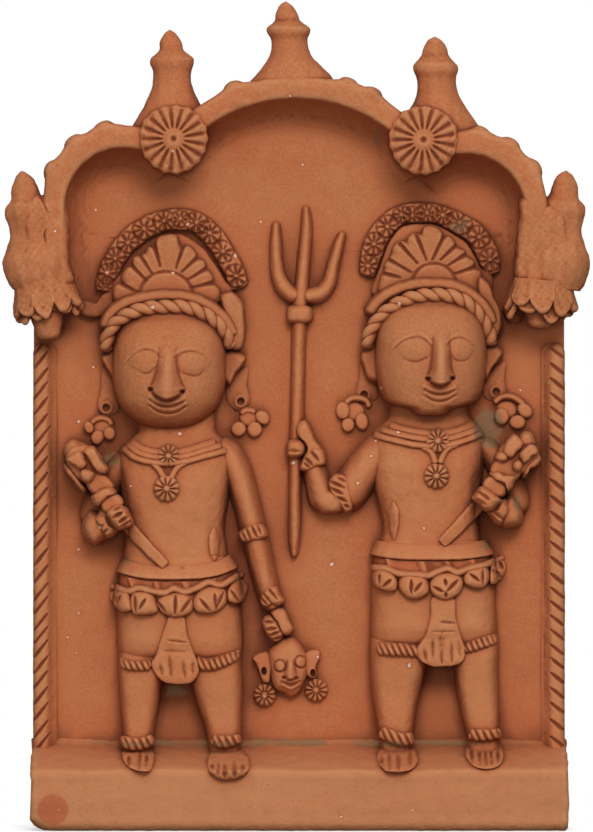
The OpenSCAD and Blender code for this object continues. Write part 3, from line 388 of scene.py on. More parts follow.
def fire(node, shaped, clay, top):
    """Makes the mesh of one piece, with quads between the rings of each grid and a cap on its first and
    last ring, all turned outwards, and lets it stand for its node."""
    verts, quads, caps = [], [], []
    marks = {k: [] for k in MARKS}
    start = 0
    for g, nrm, tint in shaped:
        k, n = g.shape[:2]
        idx = start + np.arange(k * n).reshape(k, n)
        nxt = np.roll(idx, -1, 1)
        q = np.stack([idx[:-1], nxt[:-1], nxt[1:], idx[1:]], -1).reshape(-1, 4)
        p = g.reshape(-1, 3) - g.mean((0, 1))
        a, b, c, d = (p[q[:, i] - start] for i in range(4))
        volume = np.sum(a * np.cross(b, c)) + np.sum(a * np.cross(c, d))
        low, high = idx[0][::-1], idx[-1]
        for ring in (low, high):
            h = p[ring - start]
            volume += np.sum(h.mean(0) * np.cross(h, np.roll(h, -1, 0)))
        if volume < 0:
            q, low, high = q[:, ::-1], low[::-1], high[::-1]
        verts.append(g.reshape(-1, 3))
        quads.append(q)
        caps += [low, high]
        marks["relief"].append(relief_of(g, nrm).ravel())
        # Share of hidden view, painted into the clay's colour as shade
        marks["painted_shade"].append(hidden(g, nrm, top).ravel())
        marks["slip"].append(slip_on(g).ravel())
        marks["wash"].append(np.full(k * n, tint))
        start += k * n
    verts, quads = np.concatenate(verts) * MM, np.concatenate(quads)
    corners = np.concatenate([quads.ravel()] + caps)
    sizes = np.r_[np.full(len(quads), 4), [len(c) for c in caps]]
    me = bpy.data.meshes.new(node + "_clay")
    me.vertices.add(len(verts))
    me.vertices.foreach_set("co", verts.ravel())
    me.loops.add(len(corners))
    me.loops.foreach_set("vertex_index", corners.astype(np.int32))
    me.polygons.add(len(sizes))
    me.polygons.foreach_set("loop_start", np.r_[0, np.cumsum(sizes)[:-1]].astype(np.int32))
    me.update(calc_edges=True)
    me.validate()
    me.shade_smooth()
    for k, v in marks.items():
        me.attributes.new(k, "FLOAT", "POINT").data.foreach_set("value", np.concatenate(v))
    me.materials.append(clay)
    ob = bpy.data.objects.new(node + "_clay", me)
    bpy.context.scene.collection.objects.link(ob)
    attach(ob, "root")
    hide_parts(node)


# Clay

def add(tree, kind, values, **props):
    """Adds a shader node, sets its options and fills its sockets with values or other nodes' outputs."""
    n = tree.nodes.new("ShaderNode" + kind)
    for k, v in props.items():
        setattr(n, k, v)
    for k, v in values.items():
        if isinstance(v, bpy.types.NodeSocket):
            tree.links.new(v, n.inputs[k])
        else:
            n.inputs[k].default_value = v
    return n


def blend(tree, f, a, b):
    """Colour a turned into colour b by the factor f."""
    return add(tree, "Mix", {0: f, 6: a, 7: b}, data_type="RGBA").outputs[2]


def sums(tree, kind, a, b):
    """Result of a calculation with two values, such as ADD, MULTIPLY or MAXIMUM."""
    return add(tree, "Math", {0: a, 1: b}, operation=kind).outputs[0]


def span(tree, v, lo, hi, a=0.0, b=1.0):
    """Soft step of a value from a at lo to b at hi."""
    return add(tree, "MapRange", {"Value": v, "From Min": lo, "From Max": hi, "To Min": a, "To Max": b},
               interpolation_type="SMOOTHSTEP").outputs[0]


def grains(tree, at, scale, detail=4.0, rough=0.55):
    """Cloudy noise of about 1 / scale metres."""
    values = {"Vector": at, "Scale": scale, "Detail": detail, "Roughness": rough}
    return add(tree, "TexNoise", values).outputs[0]


# Lime specks that burst through the clay: place on the front drawing and radius in millimetres
LIME = [(290, 97, 0.8), (173, 152, 0.7), (303, 164, 0.7), (188, 224, 0.8), (153, 307, 0.8),
        (235.5, 255.4, 0.9), (173, 273, 0.6), (107, 272, 0.8), (95, 209, 0.5), (261, 221, 0.6),
        (93, 367, 0.5), (398, 432, 0.7), (399, 304, 0.8), (424, 528, 0.7), (332, 565, 0.9), (409, 665, 1.0),
        (76, 654, 0.6), (67, 638, 0.5), (78, 614, 0.6), (78, 550, 0.7), (78, 421.6, 0.6), (180, 434, 0.7),
        (131, 486, 0.5), (100, 527, 0.8), (293, 463, 0.8), (371.4, 456, 0.6), (358, 483, 0.7),
        (376, 441, 0.6), (521, 390, 0.6), (381, 388, 0.5), (318, 657, 0.6), (264, 697, 0.7), (60, 808, 0.7),
        (341, 815, 0.6), (56, 232, 0.6)]


# Colours laid over the clay, and the red stain low on the plinth: place in metres
WASHED_RED = (0.500, 0.118, 0.040, 1)
WASHED_PALE = (0.560, 0.270, 0.130, 1)
SANDY = (0.60, 0.24, 0.105, 1)
WORN = (0.62, 0.28, 0.13, 1)
# Painted shade: the next colour is a redder, darker tint beside tall relief, the one after it darkens
# creases, and the hollow colour darkens hollows as painted shade and dirt together.
REDDER_SHADE_NEAR_RELIEF = (0.450, 0.115, 0.042, 1)
CREASE_SHADE = (0.150, 0.036, 0.014, 1)
HOLLOW_SHADE_AND_DIRT = (0.190, 0.045, 0.018, 1)
GREY_SLIP = (0.255, 0.150, 0.075, 1)
GRIT = (0.24, 0.085, 0.04, 1)
LIME_RING = (0.50, 0.12, 0.045, 1)
LIME_WHITE = (0.72, 0.60, 0.48, 1)
STAIN = (0.45, 0.105, 0.045, 1)
SPECK = (0.70, 0.52, 0.38, 1)
STAIN_AT = (-0.1225, 0, 0.0105)


def fired_clay(name, mid, pale, red, deep=0.34):
    """Unglazed fired clay: cloudy mix of mid, pale and red clay, with painted shade from the share of hidden
    view (a redder, darker tint beside tall relief and dark creases) and dark hollows (painted shade and
    dirt), paler on worn edges, with grey slip in places, faint grit, lime specks in red rings and a sandy
    bump. The painted crease shade starts at the share deep of hidden view."""
    mat = bpy.data.materials.new(name)
    mat.use_nodes = True
    t = mat.node_tree
    at = add(t, "TexCoord", {}).outputs["Object"]
    relief, painted_shade, slip, wash = (add(t, "Attribute", {}, attribute_name=k).outputs["Fac"] for k in MARKS)
    patch = grains(t, at, 17.0, 3.0)
    mottle = grains(t, at, 75.0, 5.0, 0.6)
    sand = grains(t, at, 900.0, 3.0, 0.7)
    col = blend(t, span(t, patch, 0.42, 0.68), mid, red)
    col = blend(t, span(t, mottle, 0.45, 0.75), col, pale)
    col = blend(t, span(t, wash, 0.0, -1.0, 0.0, 0.8), col, WASHED_RED)
    col = blend(t, span(t, wash, 0.0, 1.0, 0.0, 0.7), col, WASHED_PALE)
    col = blend(t, span(t, sand, 0.38, 0.7, 0.0, 0.6), col, SANDY)
    col = blend(t, span(t, relief, -0.08, -0.7, 0.0, 0.45), col, WORN)
    # Painted shade from the share of hidden view: a redder, darker tint beside tall relief, then dark creases
    col = blend(t, span(t, painted_shade, 0.04, 0.42, 0.0, 0.5), col, REDDER_SHADE_NEAR_RELIEF)
    col = blend(t, span(t, painted_shade, deep, deep + 0.5, 0.0, 0.85), col, CREASE_SHADE)
    # Dark in hollows: painted shade and dirt together
    col = blend(t, span(t, relief, 0.06, 0.8, 0.0, 0.75), col, HOLLOW_SHADE_AND_DIRT)
    film = sums(t, "MULTIPLY", slip, span(t, grains(t, at, 110.0, 5.0, 0.65), 0.36, 0.62, 0.4, 1.0))
    col = blend(t, span(t, film, 0.22, 0.65, 0.0, 0.8), col, GREY_SLIP)
    grit = add(t, "TexVoronoi", {"Vector": at, "Scale": 330.0})
    dark = span(t, grit.outputs["Distance"], 0.16, 0.10)
    rare = span(t, add(t, "SeparateColor", {0: grit.outputs["Color"]}).outputs[0], 0.84, 0.88, 0.0, 0.55)
    col = blend(t, sums(t, "MULTIPLY", dark, rare), col, GRIT)
    xyz = add(t, "SeparateXYZ", {0: at}).outputs
    flat = add(t, "CombineXYZ", {0: xyz[0], 1: span(t, xyz[1], 0.015, 0.017), 2: xyz[2]}).outputs[0]
    near = 9.0
    for x, z, r in drawn(LIME):
        spot = (x * MM, 0, z * MM)
        d = add(t, "VectorMath", {0: flat, 1: spot}, operation="DISTANCE").outputs["Value"]
        d = sums(t, "DIVIDE", d, r * MM)
        near = sums(t, "MINIMUM", d, near)
    wobble = sums(t, "ADD", near, span(t, grains(t, at, 700.0), 0.3, 0.7, -0.5, 0.5))
    col = blend(t, span(t, wobble, 2.8, 1.3, 0.0, 0.6), col, LIME_RING)
    col = blend(t, span(t, wobble, 1.05, 0.7), col, LIME_WHITE)
    stain = add(t, "VectorMath", {0: flat, 1: STAIN_AT}, operation="DISTANCE").outputs["Value"]
    col = blend(t, span(t, stain, 0.0085, 0.0068, 0.0, 0.7), col, STAIN)
    specks = add(t, "TexVoronoi", {"Vector": at, "Scale": 120.0})
    tiny = span(t, specks.outputs["Distance"], 0.075, 0.045)
    few = span(t, add(t, "SeparateColor", {0: specks.outputs["Color"]}).outputs[1], 0.955, 0.965, 0.0, 0.7)
    col = blend(t, sums(t, "MULTIPLY", tiny, few), col, SPECK)
    dents = span(t, grains(t, at, 95.0, 3.0), 0.2, 0.8, 0.0, 1.6)
    skin = sums(t, "ADD", grains(t, at, 260.0, 6.0, 0.7), sand)
    skin = sums(t, "ADD", skin, dents)
    bump = add(t, "Bump", {"Strength": 0.45, "Distance": 0.0007, "Height": skin})
    b = t.nodes["Principled BSDF"]
    t.links.new(col, b.inputs["Base Color"])
    t.links.new(span(t, mottle, 0.3, 0.7, 0.80, 0.95), b.inputs["Roughness"])
    t.links.new(bump.outputs[0], b.inputs["Normal"])
    b.inputs["Specular IOR Level"].default_value = 0.15
    return mat


# Each clay: its mid, pale and red colours, and for upper_clay the share of hidden view where its painted
# crease shade starts
body_clay = fired_clay("body_clay", (0.548, 0.196, 0.077, 1), (0.575, 0.226, 0.092, 1),
                       (0.540, 0.170, 0.063, 1))
upper_clay = fired_clay("upper_clay", (0.462, 0.163, 0.063, 1), (0.496, 0.193, 0.079, 1),
                        (0.458, 0.143, 0.052, 1), 0.22)
slab_clay = fired_clay("slab_clay", (0.492, 0.164, 0.062, 1), (0.527, 0.194, 0.078, 1),
                       (0.492, 0.139, 0.050, 1))
cloth_clay = fired_clay("cloth_clay", (0.495, 0.155, 0.062, 1), (0.540, 0.195, 0.085, 1),
                        (0.500, 0.135, 0.050, 1))


# Slab, plinth and border

# Lobes of the arch: centre and radius of the opening. The slab stands BEHIND past them.
MID = (-1.5, 289.2, 75.8)
LOBES = {-1: (-87.5, 311.0, 29.5), 1: (82.9, 306.9, 30.6)}
BEHIND, SLAB_SIDE, SLAB_TOP = 9.5, 133, 299
EDGE_X = 128.9  # middle of the border strips
# Holes through the ear lobes
PIERCED = drawn([(105.8, 407.7), (240.6, 401.4), (364.4, 394.6), (496.7, 391.6)])


def back_slab():
    """Plate in polar form round the middle lobe's centre: its edge is the farthest exit of a ray from
    the plate's rectangle and its three round lobes; the front is uneven by half a millimetre and has a
    pit behind each pierced ear."""
    f = np.linspace(0, 2 * PI, 512, endpoint=False)
    dx, dz = np.cos(f), np.sin(f)
    with np.errstate(divide="ignore"):
        reach = np.minimum(np.where(dx > 0, SLAB_SIDE - MID[0], -SLAB_SIDE - MID[0]) / dx,
                           np.where(dz > 0, SLAB_TOP - MID[1], -MID[1]) / dz)
    for cx, cz, r in (MID, LOBES[-1], LOBES[1]):
        b = dx * (cx - MID[0]) + dz * (cz - MID[1])
        q = b * b - (cx - MID[0]) ** 2 - (cz - MID[1]) ** 2 + (r + BEHIND) ** 2
        reach = np.maximum(reach, np.where(q > 0, b + np.sqrt(np.maximum(q, 0)), 0))
    part = np.r_[np.linspace(0.004, 0.995, 84), np.ones(8), [0.99, 0.7, 0.3, 0.004]][:, None]
    level = np.r_[np.zeros(84), -0.8, -2, -4, -6, -8, -10, -11.2, -11.8, [-SLAB] * 4][:, None]
    x, z = MID[0] + reach * part * dx, MID[1] + reach * part * dz
    p = put(x, level, z)
    front = (level == 0) * step(1.0, 0.97, part)
    u = level + front * (0.5 * uneven(p, 70, 1) + 0.08 * uneven(p, 21, 2))
    for hx, hz in PIERCED:
        u = u - 9.5 * front * step(3.6, 2.6, np.hypot(x - hx, z - hz))
    return put(x, u, z)


def base_plinth():
    """Closed section in u and z carried along x; the front edge wavers, both ends are worn round and
    the left bottom corner is broken away."""
    sec = closed([(-1.5, 0.4), (10, 0), (28, 0), (35.8, 0.3), (38, 2.4), (38.4, 9), (38.4, 18), (38.3, 24),
                  (38.1, 28.0), (37.5, 29.6), (36.2, 30.6), (34, 31.5), (24, 34.7), (12, 38.6), (5, 40.9),
                  (2, 42.1), (0.3, 43.6), (-1.2, 45.4), (-3, 46), (-3, 24)], 190)
    x = np.linspace(-133.6, 133.8, 170)[:, None]
    k = 1 - 0.07 * (1 - ends_in(x[:, 0], 3.0, 3.0))[:, None]
    u = 18 + (sec[None, :, 0] - 18) * k
    z = 20 + (sec[None, :, 1] - 20) * k
    p = put(x, u, z)
    front = step(20, 36, u)
    u = (u + front * (0.7 * uneven(p, 60, 11) + 0.25 * uneven(p, 17, 12))
         - 2.0 * front * bell(x + 132, 6) * bell(z, 9))
    z = (z + 0.8 * step(10, 34, z) * front * uneven(p * [1, 0, 0], 75, 13)
         + 3.2 * bell(x + 134, 5) * step(12, 0, z))
    x = x + 0.8 * bell(z - 12, 9) * step(120, 134, x) + 0.6 * uneven(p, 11, 14) * step(126, 134, np.abs(x))
    return put(x, u, np.maximum(z, 0))


def border_strip(side):
    """Half-round strip up one edge, soft towards the slab, with slanting leaf-shaped gouges: each is
    1.8 (1 - (d / w)^2) deep, where d is the distance from its line and its half width w closes like an oval
    towards both ends."""
    z = np.linspace(38, 243, 470)[:, None]
    c, v = half_oval(2.6, 34)
    k = ends_in(z[:, 0], 0.1, 5.0)[:, None]
    a = side * c
    x = side * EDGE_X + 4.4 * c * k - side * 3.4 * (a < 0) * (1 - v) ** 3
    slant, wide = (1.23, 0.95) if side < 0 else (0.76, 1.2)
    lines = 20 + np.cumsum(np.random.default_rng(7 + side).uniform(6.4, 9.0, 34))
    i = np.interp(z + side * slant * (x - side * EDGE_X), lines, np.arange(34.0))
    d = (i - np.round(i)) * 7.7 / np.hypot(1, slant)
    w = wide * np.sqrt(np.clip(1 - ((a - 0.2) / 0.95) ** 2, 0, 1)) + 0.02
    u = 7.2 * v * k - 1.8 * np.clip(1 - (d / w) ** 2, 0, 1) * step(0.1, 0.5, v)
    return with_back(x, u, z + 0 * x, 0.0)


# Arch

# Section of the moulding: offset from the opening's edge, and u
COVE = [(-19, -1.6), (-15, -0.7), (-11.4, 0.3), (-8.6, 1.6), (-5.9, 4.4), (-3.6, 9), (-1.7, 16), (-0.6, 24),
        (-0.1, 30), (0.35, 31.4), (1.3, 32.0), (4, 32.4), (7.5, 32.2), (9.6, 31.3), (10.6, 29.4), (10.9, 26),
        (10.7, 14), (10.4, 0), (10.2, -1.5)]
# Angles of the lumps round each lobe, in degrees
LUMPS = {"mid": (111, 72.5, 64), -1: (104, 128, 153), 1: (80, 57, 34)}


def arch_run(turn, cx, cz, r, post, lumps):
    """Moulding carried round a lobe: the section [offset from the opening's edge, u] runs from the
    hollow at the slab over the front to the outer edge, along angles turn from the lobe's centre; the outer
    edge swells at the lumps, and a post of that length goes straight down from the first angle."""
    sec = follow(COVE, 60)
    off, u = sec[None, :, 0], sec[None, :, 1]
    deg = np.linspace(turn[0], turn[1], 170)[:, None]
    swell = sum(bell(np.radians(deg - q) * (r + 10), 6.5) for q in lumps)
    a, wide = np.radians(deg), off + 2.4 * swell * step(4.0, 10.4, off)
    x, z = cx + (r + wide) * np.cos(a), cz + (r + wide) * np.sin(a)
    if post:
        d = np.linspace(post, 0.6, 40)[:, None]
        s = np.cos(np.radians(turn[0]))
        x = np.concatenate([cx + s * (r + off) + 0 * d, x])
        z = np.concatenate([cz - d + 0 * off, z])
    p = put(x, u + 0 * x, z)
    u = u + 0 * x + step(24, 31, u) * (0.5 * uneven(p, 34, 21) + 0.2 * uneven(p, 9, 22))
    outer, inner = (put(x[:, k], -1.5, z[:, k]) for k in ([-1], [0]))
    return np.concatenate([put(x, u, z), outer, inner], 1)


def arch_lump(lobe, angle):
    """Half-sunk round lump on the moulding's outer edge: a pad whose flat front is flush with it."""
    cx, cz, r = MID if lobe == "mid" else LOBES[lobe]
    a = np.radians(angle)
    d = r + 7.8
    edge = oval(cx + d * np.cos(a), cz + d * np.sin(a), 6.9)
    return pad(edge, 24.9, base=7.0, p=5.0, sink=0.0, rings=20, n=55)


def finial(rows):
    """Stack of ovals [z, middle x, half width, half depth] along a smooth curve, middle at u = 16.2."""
    z, x, w, d = follow(np.array(rows), 86).T[:, :, None]
    f = np.linspace(0, 2 * PI, 56, endpoint=False)[None]
    return put(x + w * np.cos(f), 16.2 + d * np.sin(f), z + 0 * f)


def spokes(f, count, d, shift=0.0):
    """Length of the arc, at the angle f and the distance d from the middle, to the nearest of count evenly
    spaced rays, which a shift from 0 to 1 moves by one gap."""
    return ((f * count / (2 * PI) + shift) % 1 - 0.5) * 2 * PI / count * d


def rosette(cx, cz, seed, grooves=17):
    """Disc with a raised middle, a dimple, leaf-shaped radial grooves that widen outwards, a wavy rim."""
    def marks(x, z, r):
        d = np.hypot(x - cx, z - cz)
        arc = spokes(np.arctan2(z - cz, x - cx), grooves, d)
        cut = bell(arc, 0.4 + 0.085 * np.clip(d - 5, 0, 12)) * step(4.2, 7, d) * step(17, 14.5, d)
        return (-1.5 * cut + 1.0 * bell(d, 4.6) - 2.8 * bell(d, 1.2)
                + 0.3 * uneven(put(x, 0 * x, z), 4.5, seed) * step(8, 15, d))
    f = np.linspace(0, 2 * PI, 204, endpoint=False)
    rim = 17.1 - 0.3 * np.cos(grooves * f + PI) + 0.3 * np.sin(3 * f + seed)
    edge = np.stack([cx + rim * np.cos(f), cz + rim * np.sin(f)], -1)
    return pad(edge, 6.4, base=30.6, p=3.4, sink=2.0, rings=40, n=272, detail=marks)


# Each turret: lean in degrees, share of the width, and foot as x, u and z
TURRETS = {-1: (-11.0, 1.06, (-127.5, 22.0, 271.2)), 1: (6.0, 1.0, (127.5, 22.0, 271.2))}


def turret(side):
    """Turned tower that leans outwards, pressed flat where it would stand in the arch's opening."""
    lean, wide, foot = TURRETS[side]
    rows = [(13.0, -1), (14.6, 2.5), (16.2, 8), (16.3, 15), (12.6, 23), (10.7, 29), (11.0, 34), (11.9, 38.5),
            (11.0, 41.5), (7.6, 45), (6.8, 49), (5.2, 53.6), (2.6, 57), (0.3, 58.2)]
    g = turned([(a * wide, b) for a, b in rows], foot, np.radians(lean), n=92, m=62, flat=0.78,
               ripple=lambda h, f: 1 + 0.03 * np.sin(2 * f + h * 0.1) + 0.02 * np.sin(3 * f - h * 0.07))
    inner = -116.8 if side < 0 else 113.4
    g[..., 0] = np.minimum(g[..., 0], inner) if side < 0 else np.maximum(g[..., 0], inner)
    return g


# Each web: outline and crack
WEBS = {-1: ([(27, 205), (35, 194.5), (46, 195), (57, 190), (66, 205), (69, 235), (70, 262), (73, 284),
              (62, 291), (42, 290), (26, 284), (22, 262), (25, 240), (24, 220)],
             [(36.4, 192), (41, 197), (44, 203), (48, 213), (51.5, 224), (51, 228), (46.5, 232), (46, 240),
              (46.6, 256)]),
        1: ([(520, 198), (531, 188), (543, 203), (553, 205), (563, 210), (568, 230), (572, 255), (572, 276),
             (560, 286), (532, 287), (517, 280), (516, 250), (519, 220)],
            [(530, 268.5), (534, 270), (541, 274), (548, 277.5), (556, 278.4), (563, 281)])}


def web(side):
    """Clay pressed between a turret and its post: flat pad with a drying crack."""
    edge, crack = WEBS[side]
    def marks(x, z, r):
        return -1.6 * scored(x, z, crack, 0.34) + 0.4 * uneven(put(x, 0 * x, z), 14, 51)
    return pad(drawn(edge), 32.4, p=8, rings=44, n=180, detail=marks)


def petal_skirt(side, count, r0, r1, long, tip, top, turn, thick, aside):
    """Skirt of drooping petals in one sheet: f runs round the axis, b from the top (0) to the hem (1)
    outside, round the hem's half circle and back inside. The hem lies long + tip q down with
    q = |cos(count f / 2 + turn)|^0.6, and tip wavers by 0.3. The radius grows from r0 to r1 with b^1.5 and
    stands 0.9 b^3 (q - 0.6) further out; the inner face lies thick inside the outer one."""
    lean, _, foot = TURRETS[side]
    f = np.linspace(0, 2 * PI, 232, endpoint=False)[None]
    q = np.abs(np.cos(count * f / 2 + turn)) ** 0.6
    length = long + tip * q * (1 + 0.3 * np.sin(3 * f + 4 * turn)) + top
    bow = np.linspace(0, PI, 10)[1:-1]
    b = np.r_[np.linspace(0, 1, 26), np.ones(8), np.linspace(1, 0.2, 12)][:, None]
    down = np.r_[np.zeros(26), thick / 2 * np.sin(bow), np.zeros(12)][:, None]
    inside = np.r_[np.zeros(26), thick / 2 * (1 - np.cos(bow)), np.full(12, thick)][:, None]
    r = r0 + (r1 - r0) * b ** 1.5 + 0.9 * b ** 3 * (q - 0.6) - inside
    h = top - length * b - down
    a, s = np.radians(lean), r * np.sin(f)
    return put(foot[0] + aside + s * np.cos(a) + h * np.sin(a), foot[1] + 0.85 * r * np.cos(f),
               foot[2] - s * np.sin(a) + h * np.cos(a))


def turret_drop(x, lean, low):
    """Turned drop under a turret, from its lowest point up to the foot."""
    rows = [(0.3, low), (3.9, low + 0.3), (5.6, low + 1.8), (6.6, low + 5), (8.4, low + 11), (9.6, -5),
            (9.8, 0)]
    return turned(rows, (x, 22.0, 271.2), np.radians(lean), n=46)


# Each finial: rows of height, middle x, half width and half depth
TOP_FINIAL = [(366, -4.5, 25, 15.2), (372, -3.8, 22, 15.3), (377, -2.9, 18.6, 15), (381.5, -3.4, 14.4, 13.6),
              (386.5, -4.2, 10.6, 11), (391, -4.6, 9.2, 9.4), (395.5, -5, 9.3, 9.3),
              (398.5, -5.2, 10.8, 10.6), (400.3, -5.3, 10.7, 10.5), (402.4, -5.5, 8.2, 8),
              (404.2, -5.8, 6.4, 6.3), (407, -6.1, 5.8, 5.7), (410, -6.4, 4.4, 4.3), (412.4, -6.6, 2.3, 2.3),
              (413.5, -6.6, 0.2, 0.2)]
SIDE_FINIALS = [[(346, -63, 15, 15.2), (350, -63, 20, 15.2), (355, -62.7, 18.5, 15), (361.5, -63, 14.4, 14.4),
                 (367.5, -63.3, 11.4, 12), (374, -63.4, 9.6, 9.8), (379, -63.4, 9.7, 9.6),
                 (383, -63.5, 10.9, 10.6), (385, -63.4, 10.7, 10.4), (387.6, -63.6, 8, 7.8),
                 (389.4, -63.7, 6.2, 6), (392.5, -64, 5.7, 5.6), (396, -64.3, 4, 3.9),
                 (398.6, -64.5, 1.8, 1.8), (399.6, -64.5, 0.2, 0.2)],
                [(345, 69, 15, 15.2), (349, 69.4, 20.5, 15.2), (354, 69.6, 18.6, 15), (359.5, 69.6, 14.6, 14),
                 (364.5, 69.4, 11.6, 12.2), (371, 68.9, 9.7, 9.8), (375.5, 68.6, 9.9, 9.7),
                 (379.5, 68.4, 11.3, 11), (382, 68.2, 10.9, 10.6), (384.6, 68, 8.4, 8.2),
                 (386.8, 68, 6.8, 6.6), (389.5, 68, 6.2, 6.1), (392.8, 68, 4.6, 4.5), (395, 68, 2.4, 2.4),
                 (396, 68, 0.2, 0.2)]]
# Skirts of turret petals: side, count, radii, length, tip, top, turn, thickness and shift to the right
SKIRTS = [(-1, 10, 14.6, 17.4, 7.0, 5.5, 3.0, 0.4, 4.0, 0.0), (-1, 7, 10.5, 15.0, 8, 6.5, 0.0, 1.0, 3.2, 0.0),
          (1, 9, 15, 18.2, 5.0, 6.0, 3.0, 0.1, 4.0, -5.5), (1, 7, 11, 15.6, 7, 7.5, 0.0, 1.6, 3.2, -6.5)]
# Lumps beside the turret petals: outline, height and squareness
PETAL_LUMPS = [([(504, 306), (511, 300), (520, 304), (524, 314), (518, 323), (509, 321)], 9.0, 3),
               ([(79, 299), (87, 301), (93, 305), (98, 300), (105, 292), (114, 290), (117, 299), (111, 309),
                 (103, 315), (95, 318), (86, 317), (79, 312)], 7.0, 5)]
# Each drop: x, lean in degrees and lowest point under the turret's foot
DROPS = [(-127.2, -5.0, -26.4), (121.5, 4.0, -20.6)]

fired("back_slab", [back_slab()], slab_clay, 0.0)
fired("base_plinth", [base_plinth()], body_clay, 0.1, 0.55)
fired("border_strips", [border_strip(-1), border_strip(1)], body_clay, 0.12, 0.3)
fired("arch_band", [arch_run((147.6, 32.4), *MID, 0, LUMPS["mid"]),
                    arch_run((180, 40), *LOBES[-1], 52, LUMPS[-1]),
                    arch_run((0, 140), *LOBES[1], 48, LUMPS[1])], slab_clay, 0.12)
fired("arch_lumps", [arch_lump(lobe, q) for lobe, turns in LUMPS.items() for q in turns],
      upper_clay, 0.16, -0.2)
fired("top_finial", [finial(TOP_FINIAL)], upper_clay, 0.16, -0.45)
fired("side_finials", [finial(rows) for rows in SIDE_FINIALS], upper_clay, 0.16, -0.45)
fired("rosettes", [rosette(-62.5, 344.5, 31), rosette(62.0, 344.0, 32)], upper_clay, 0.1)
fired("turrets", [turret(-1), turret(1), web(-1), web(1)], upper_clay, 0.3, -0.2)
fired("turret_petals", [petal_skirt(*row) for row in SKIRTS]
      + [pad(drawn(edge), high, p=q) for edge, high, q in PETAL_LUMPS], upper_clay, 0.3)
fired("turret_drops", [turret_drop(*row) for row in DROPS], upper_clay)


# Figures: the left one is 0 and the right one is 1

# Legs, hips and torso: rows of z, middle x, half width and depth
LEGS = [[[(36, -80.3, 7.2, 17), (42, -80.5, 7.4, 17.5), (50, -80.2, 7.8, 18.5), (60, -79.8, 9, 19.5),
          (73, -79.0, 10.8, 21.5), (80, -77.9, 12.2, 21.8), (84, -77.3, 12.8, 20.5), (88, -76.8, 13, 17),
          (93, -76.3, 11.5, 9)],
         [(36, -37.2, 8, 17), (42, -37.2, 8.2, 17.5), (50, -37.8, 8.8, 18.5), (60, -39.4, 10.6, 19.5),
          (73, -41.4, 12.8, 21.5), (80, -42.6, 13.4, 21.8), (84, -43, 13.8, 20.5), (88, -43.4, 14, 17),
          (93, -43.8, 12.4, 9)]],
        [[(38, 49, 8, 17), (45.5, 48.5, 8.2, 17.5), (55, 48.4, 9.4, 18.5), (68, 48.6, 11.6, 19.5),
          (81.5, 50, 14, 21.5), (87, 50.6, 14.6, 21.8), (91, 51, 15, 20.5), (95, 51.5, 15.2, 17),
          (100, 51.8, 13.4, 9)],
         [(38, 92.5, 8, 17), (45.5, 92.3, 7.8, 17.5), (55, 91, 8.8, 18.5), (68, 89.5, 10, 19.5),
          (81.5, 88.3, 10.8, 21.5), (87, 87.8, 11.6, 21.8), (91, 87.4, 12.2, 20.5), (95, 87, 12.4, 17),
          (100, 86.6, 11, 9)]]]
HIPS = [[(82, -59.4, 28.5, 14), (86, -59.4, 30, 20), (92, -59.5, 30.8, 22.7), (100, -59.6, 30.8, 23),
         (115, -60.3, 29.8, 22.5), (128, -60.8, 27.5, 20.5), (136, -61, 26.5, 19.5)],
        [(88.5, 67.5, 29, 14), (92.5, 67.5, 30.4, 20), (98, 67.4, 31, 22.7), (108, 67.3, 30.8, 23),
         (123, 67, 30, 22.5), (136, 66.6, 28, 20.5), (144, 66, 27, 19.5)]]
TORSO = [[(133, -61.5, 26.5, 19.5), (140, -62, 25.4, 19.8), (150, -62.3, 24.6, 20.5),
          (163, -62.4, 26.2, 22.3), (176, -62, 28, 23), (186, -61.6, 28.6, 21.5), (191, -61.5, 27, 19),
          (194.5, -61.3, 23.5, 16.5), (198, -61.2, 20, 14.5), (203, -61.2, 18.8, 13.5),
          (208, -61.2, 18.6, 13)],
         [(141.5, 65.5, 26.6, 19.5), (146, 66, 24.4, 19.8), (152, 66, 23.6, 20.3), (160, 65.2, 24.4, 21),
          (171, 64.2, 26.4, 22.3), (184, 64.3, 28, 23), (194, 64.6, 28.4, 21.5), (199, 64.8, 26.8, 19),
          (202.5, 65, 23.5, 16.5), (206, 65.2, 20, 14.5), (211, 65.3, 19, 13.5), (215, 65.3, 18.8, 13)]]
# Each head: middle x and z, and rows of height from there, half width and depth
HEADS = [(-65.0, 229.6,
          [(-30.2, 3, 8), (-29.5, 8.2, 13), (-27.8, 13.4, 19), (-25.2, 17.8, 24), (-21.6, 21.8, 28),
           (-17.6, 24.8, 31), (-12, 27.1, 33), (-5, 28.6, 34), (3, 28.8, 34.3), (11, 28.4, 33.2),
           (18, 26.8, 30), (25, 22.5, 24), (30, 15, 18), (32.5, 5, 8)]),
         (66.0, 236.5,
          [(-30, 3, 14), (-29.7, 6.5, 21), (-28.9, 8.8, 25.6), (-27.6, 10.2, 28.4), (-26.6, 11.2, 29.6),
           (-25.8, 13.5, 30), (-24.8, 18.2, 30.3), (-23, 22.2, 30.8), (-20, 24.6, 31.5), (-13, 26.9, 33),
           (-5, 28.2, 34), (3, 28.4, 34.3), (11, 28.2, 33.2), (18, 26.6, 30), (25, 22.5, 24), (30, 15, 18),
           (32.5, 5, 8)])]
leg = [[Body(r, 3.4) for r in pair] for pair in LEGS]
cuff = [[Body([(z, x, w + 2.5, d + 0.5) for z, x, w, d in r], 3.4) for r in pair] for pair in LEGS]
hip = [Body(r, 3.2) for r in HIPS]
trunk = [Body(r, 3.0) for r in TORSO]
skirt = [Body([(z, x, w + 2.8, d + 1.6) for z, x, w, d in r], 3.2) for r in HIPS]
SIDES = ("left", "right")


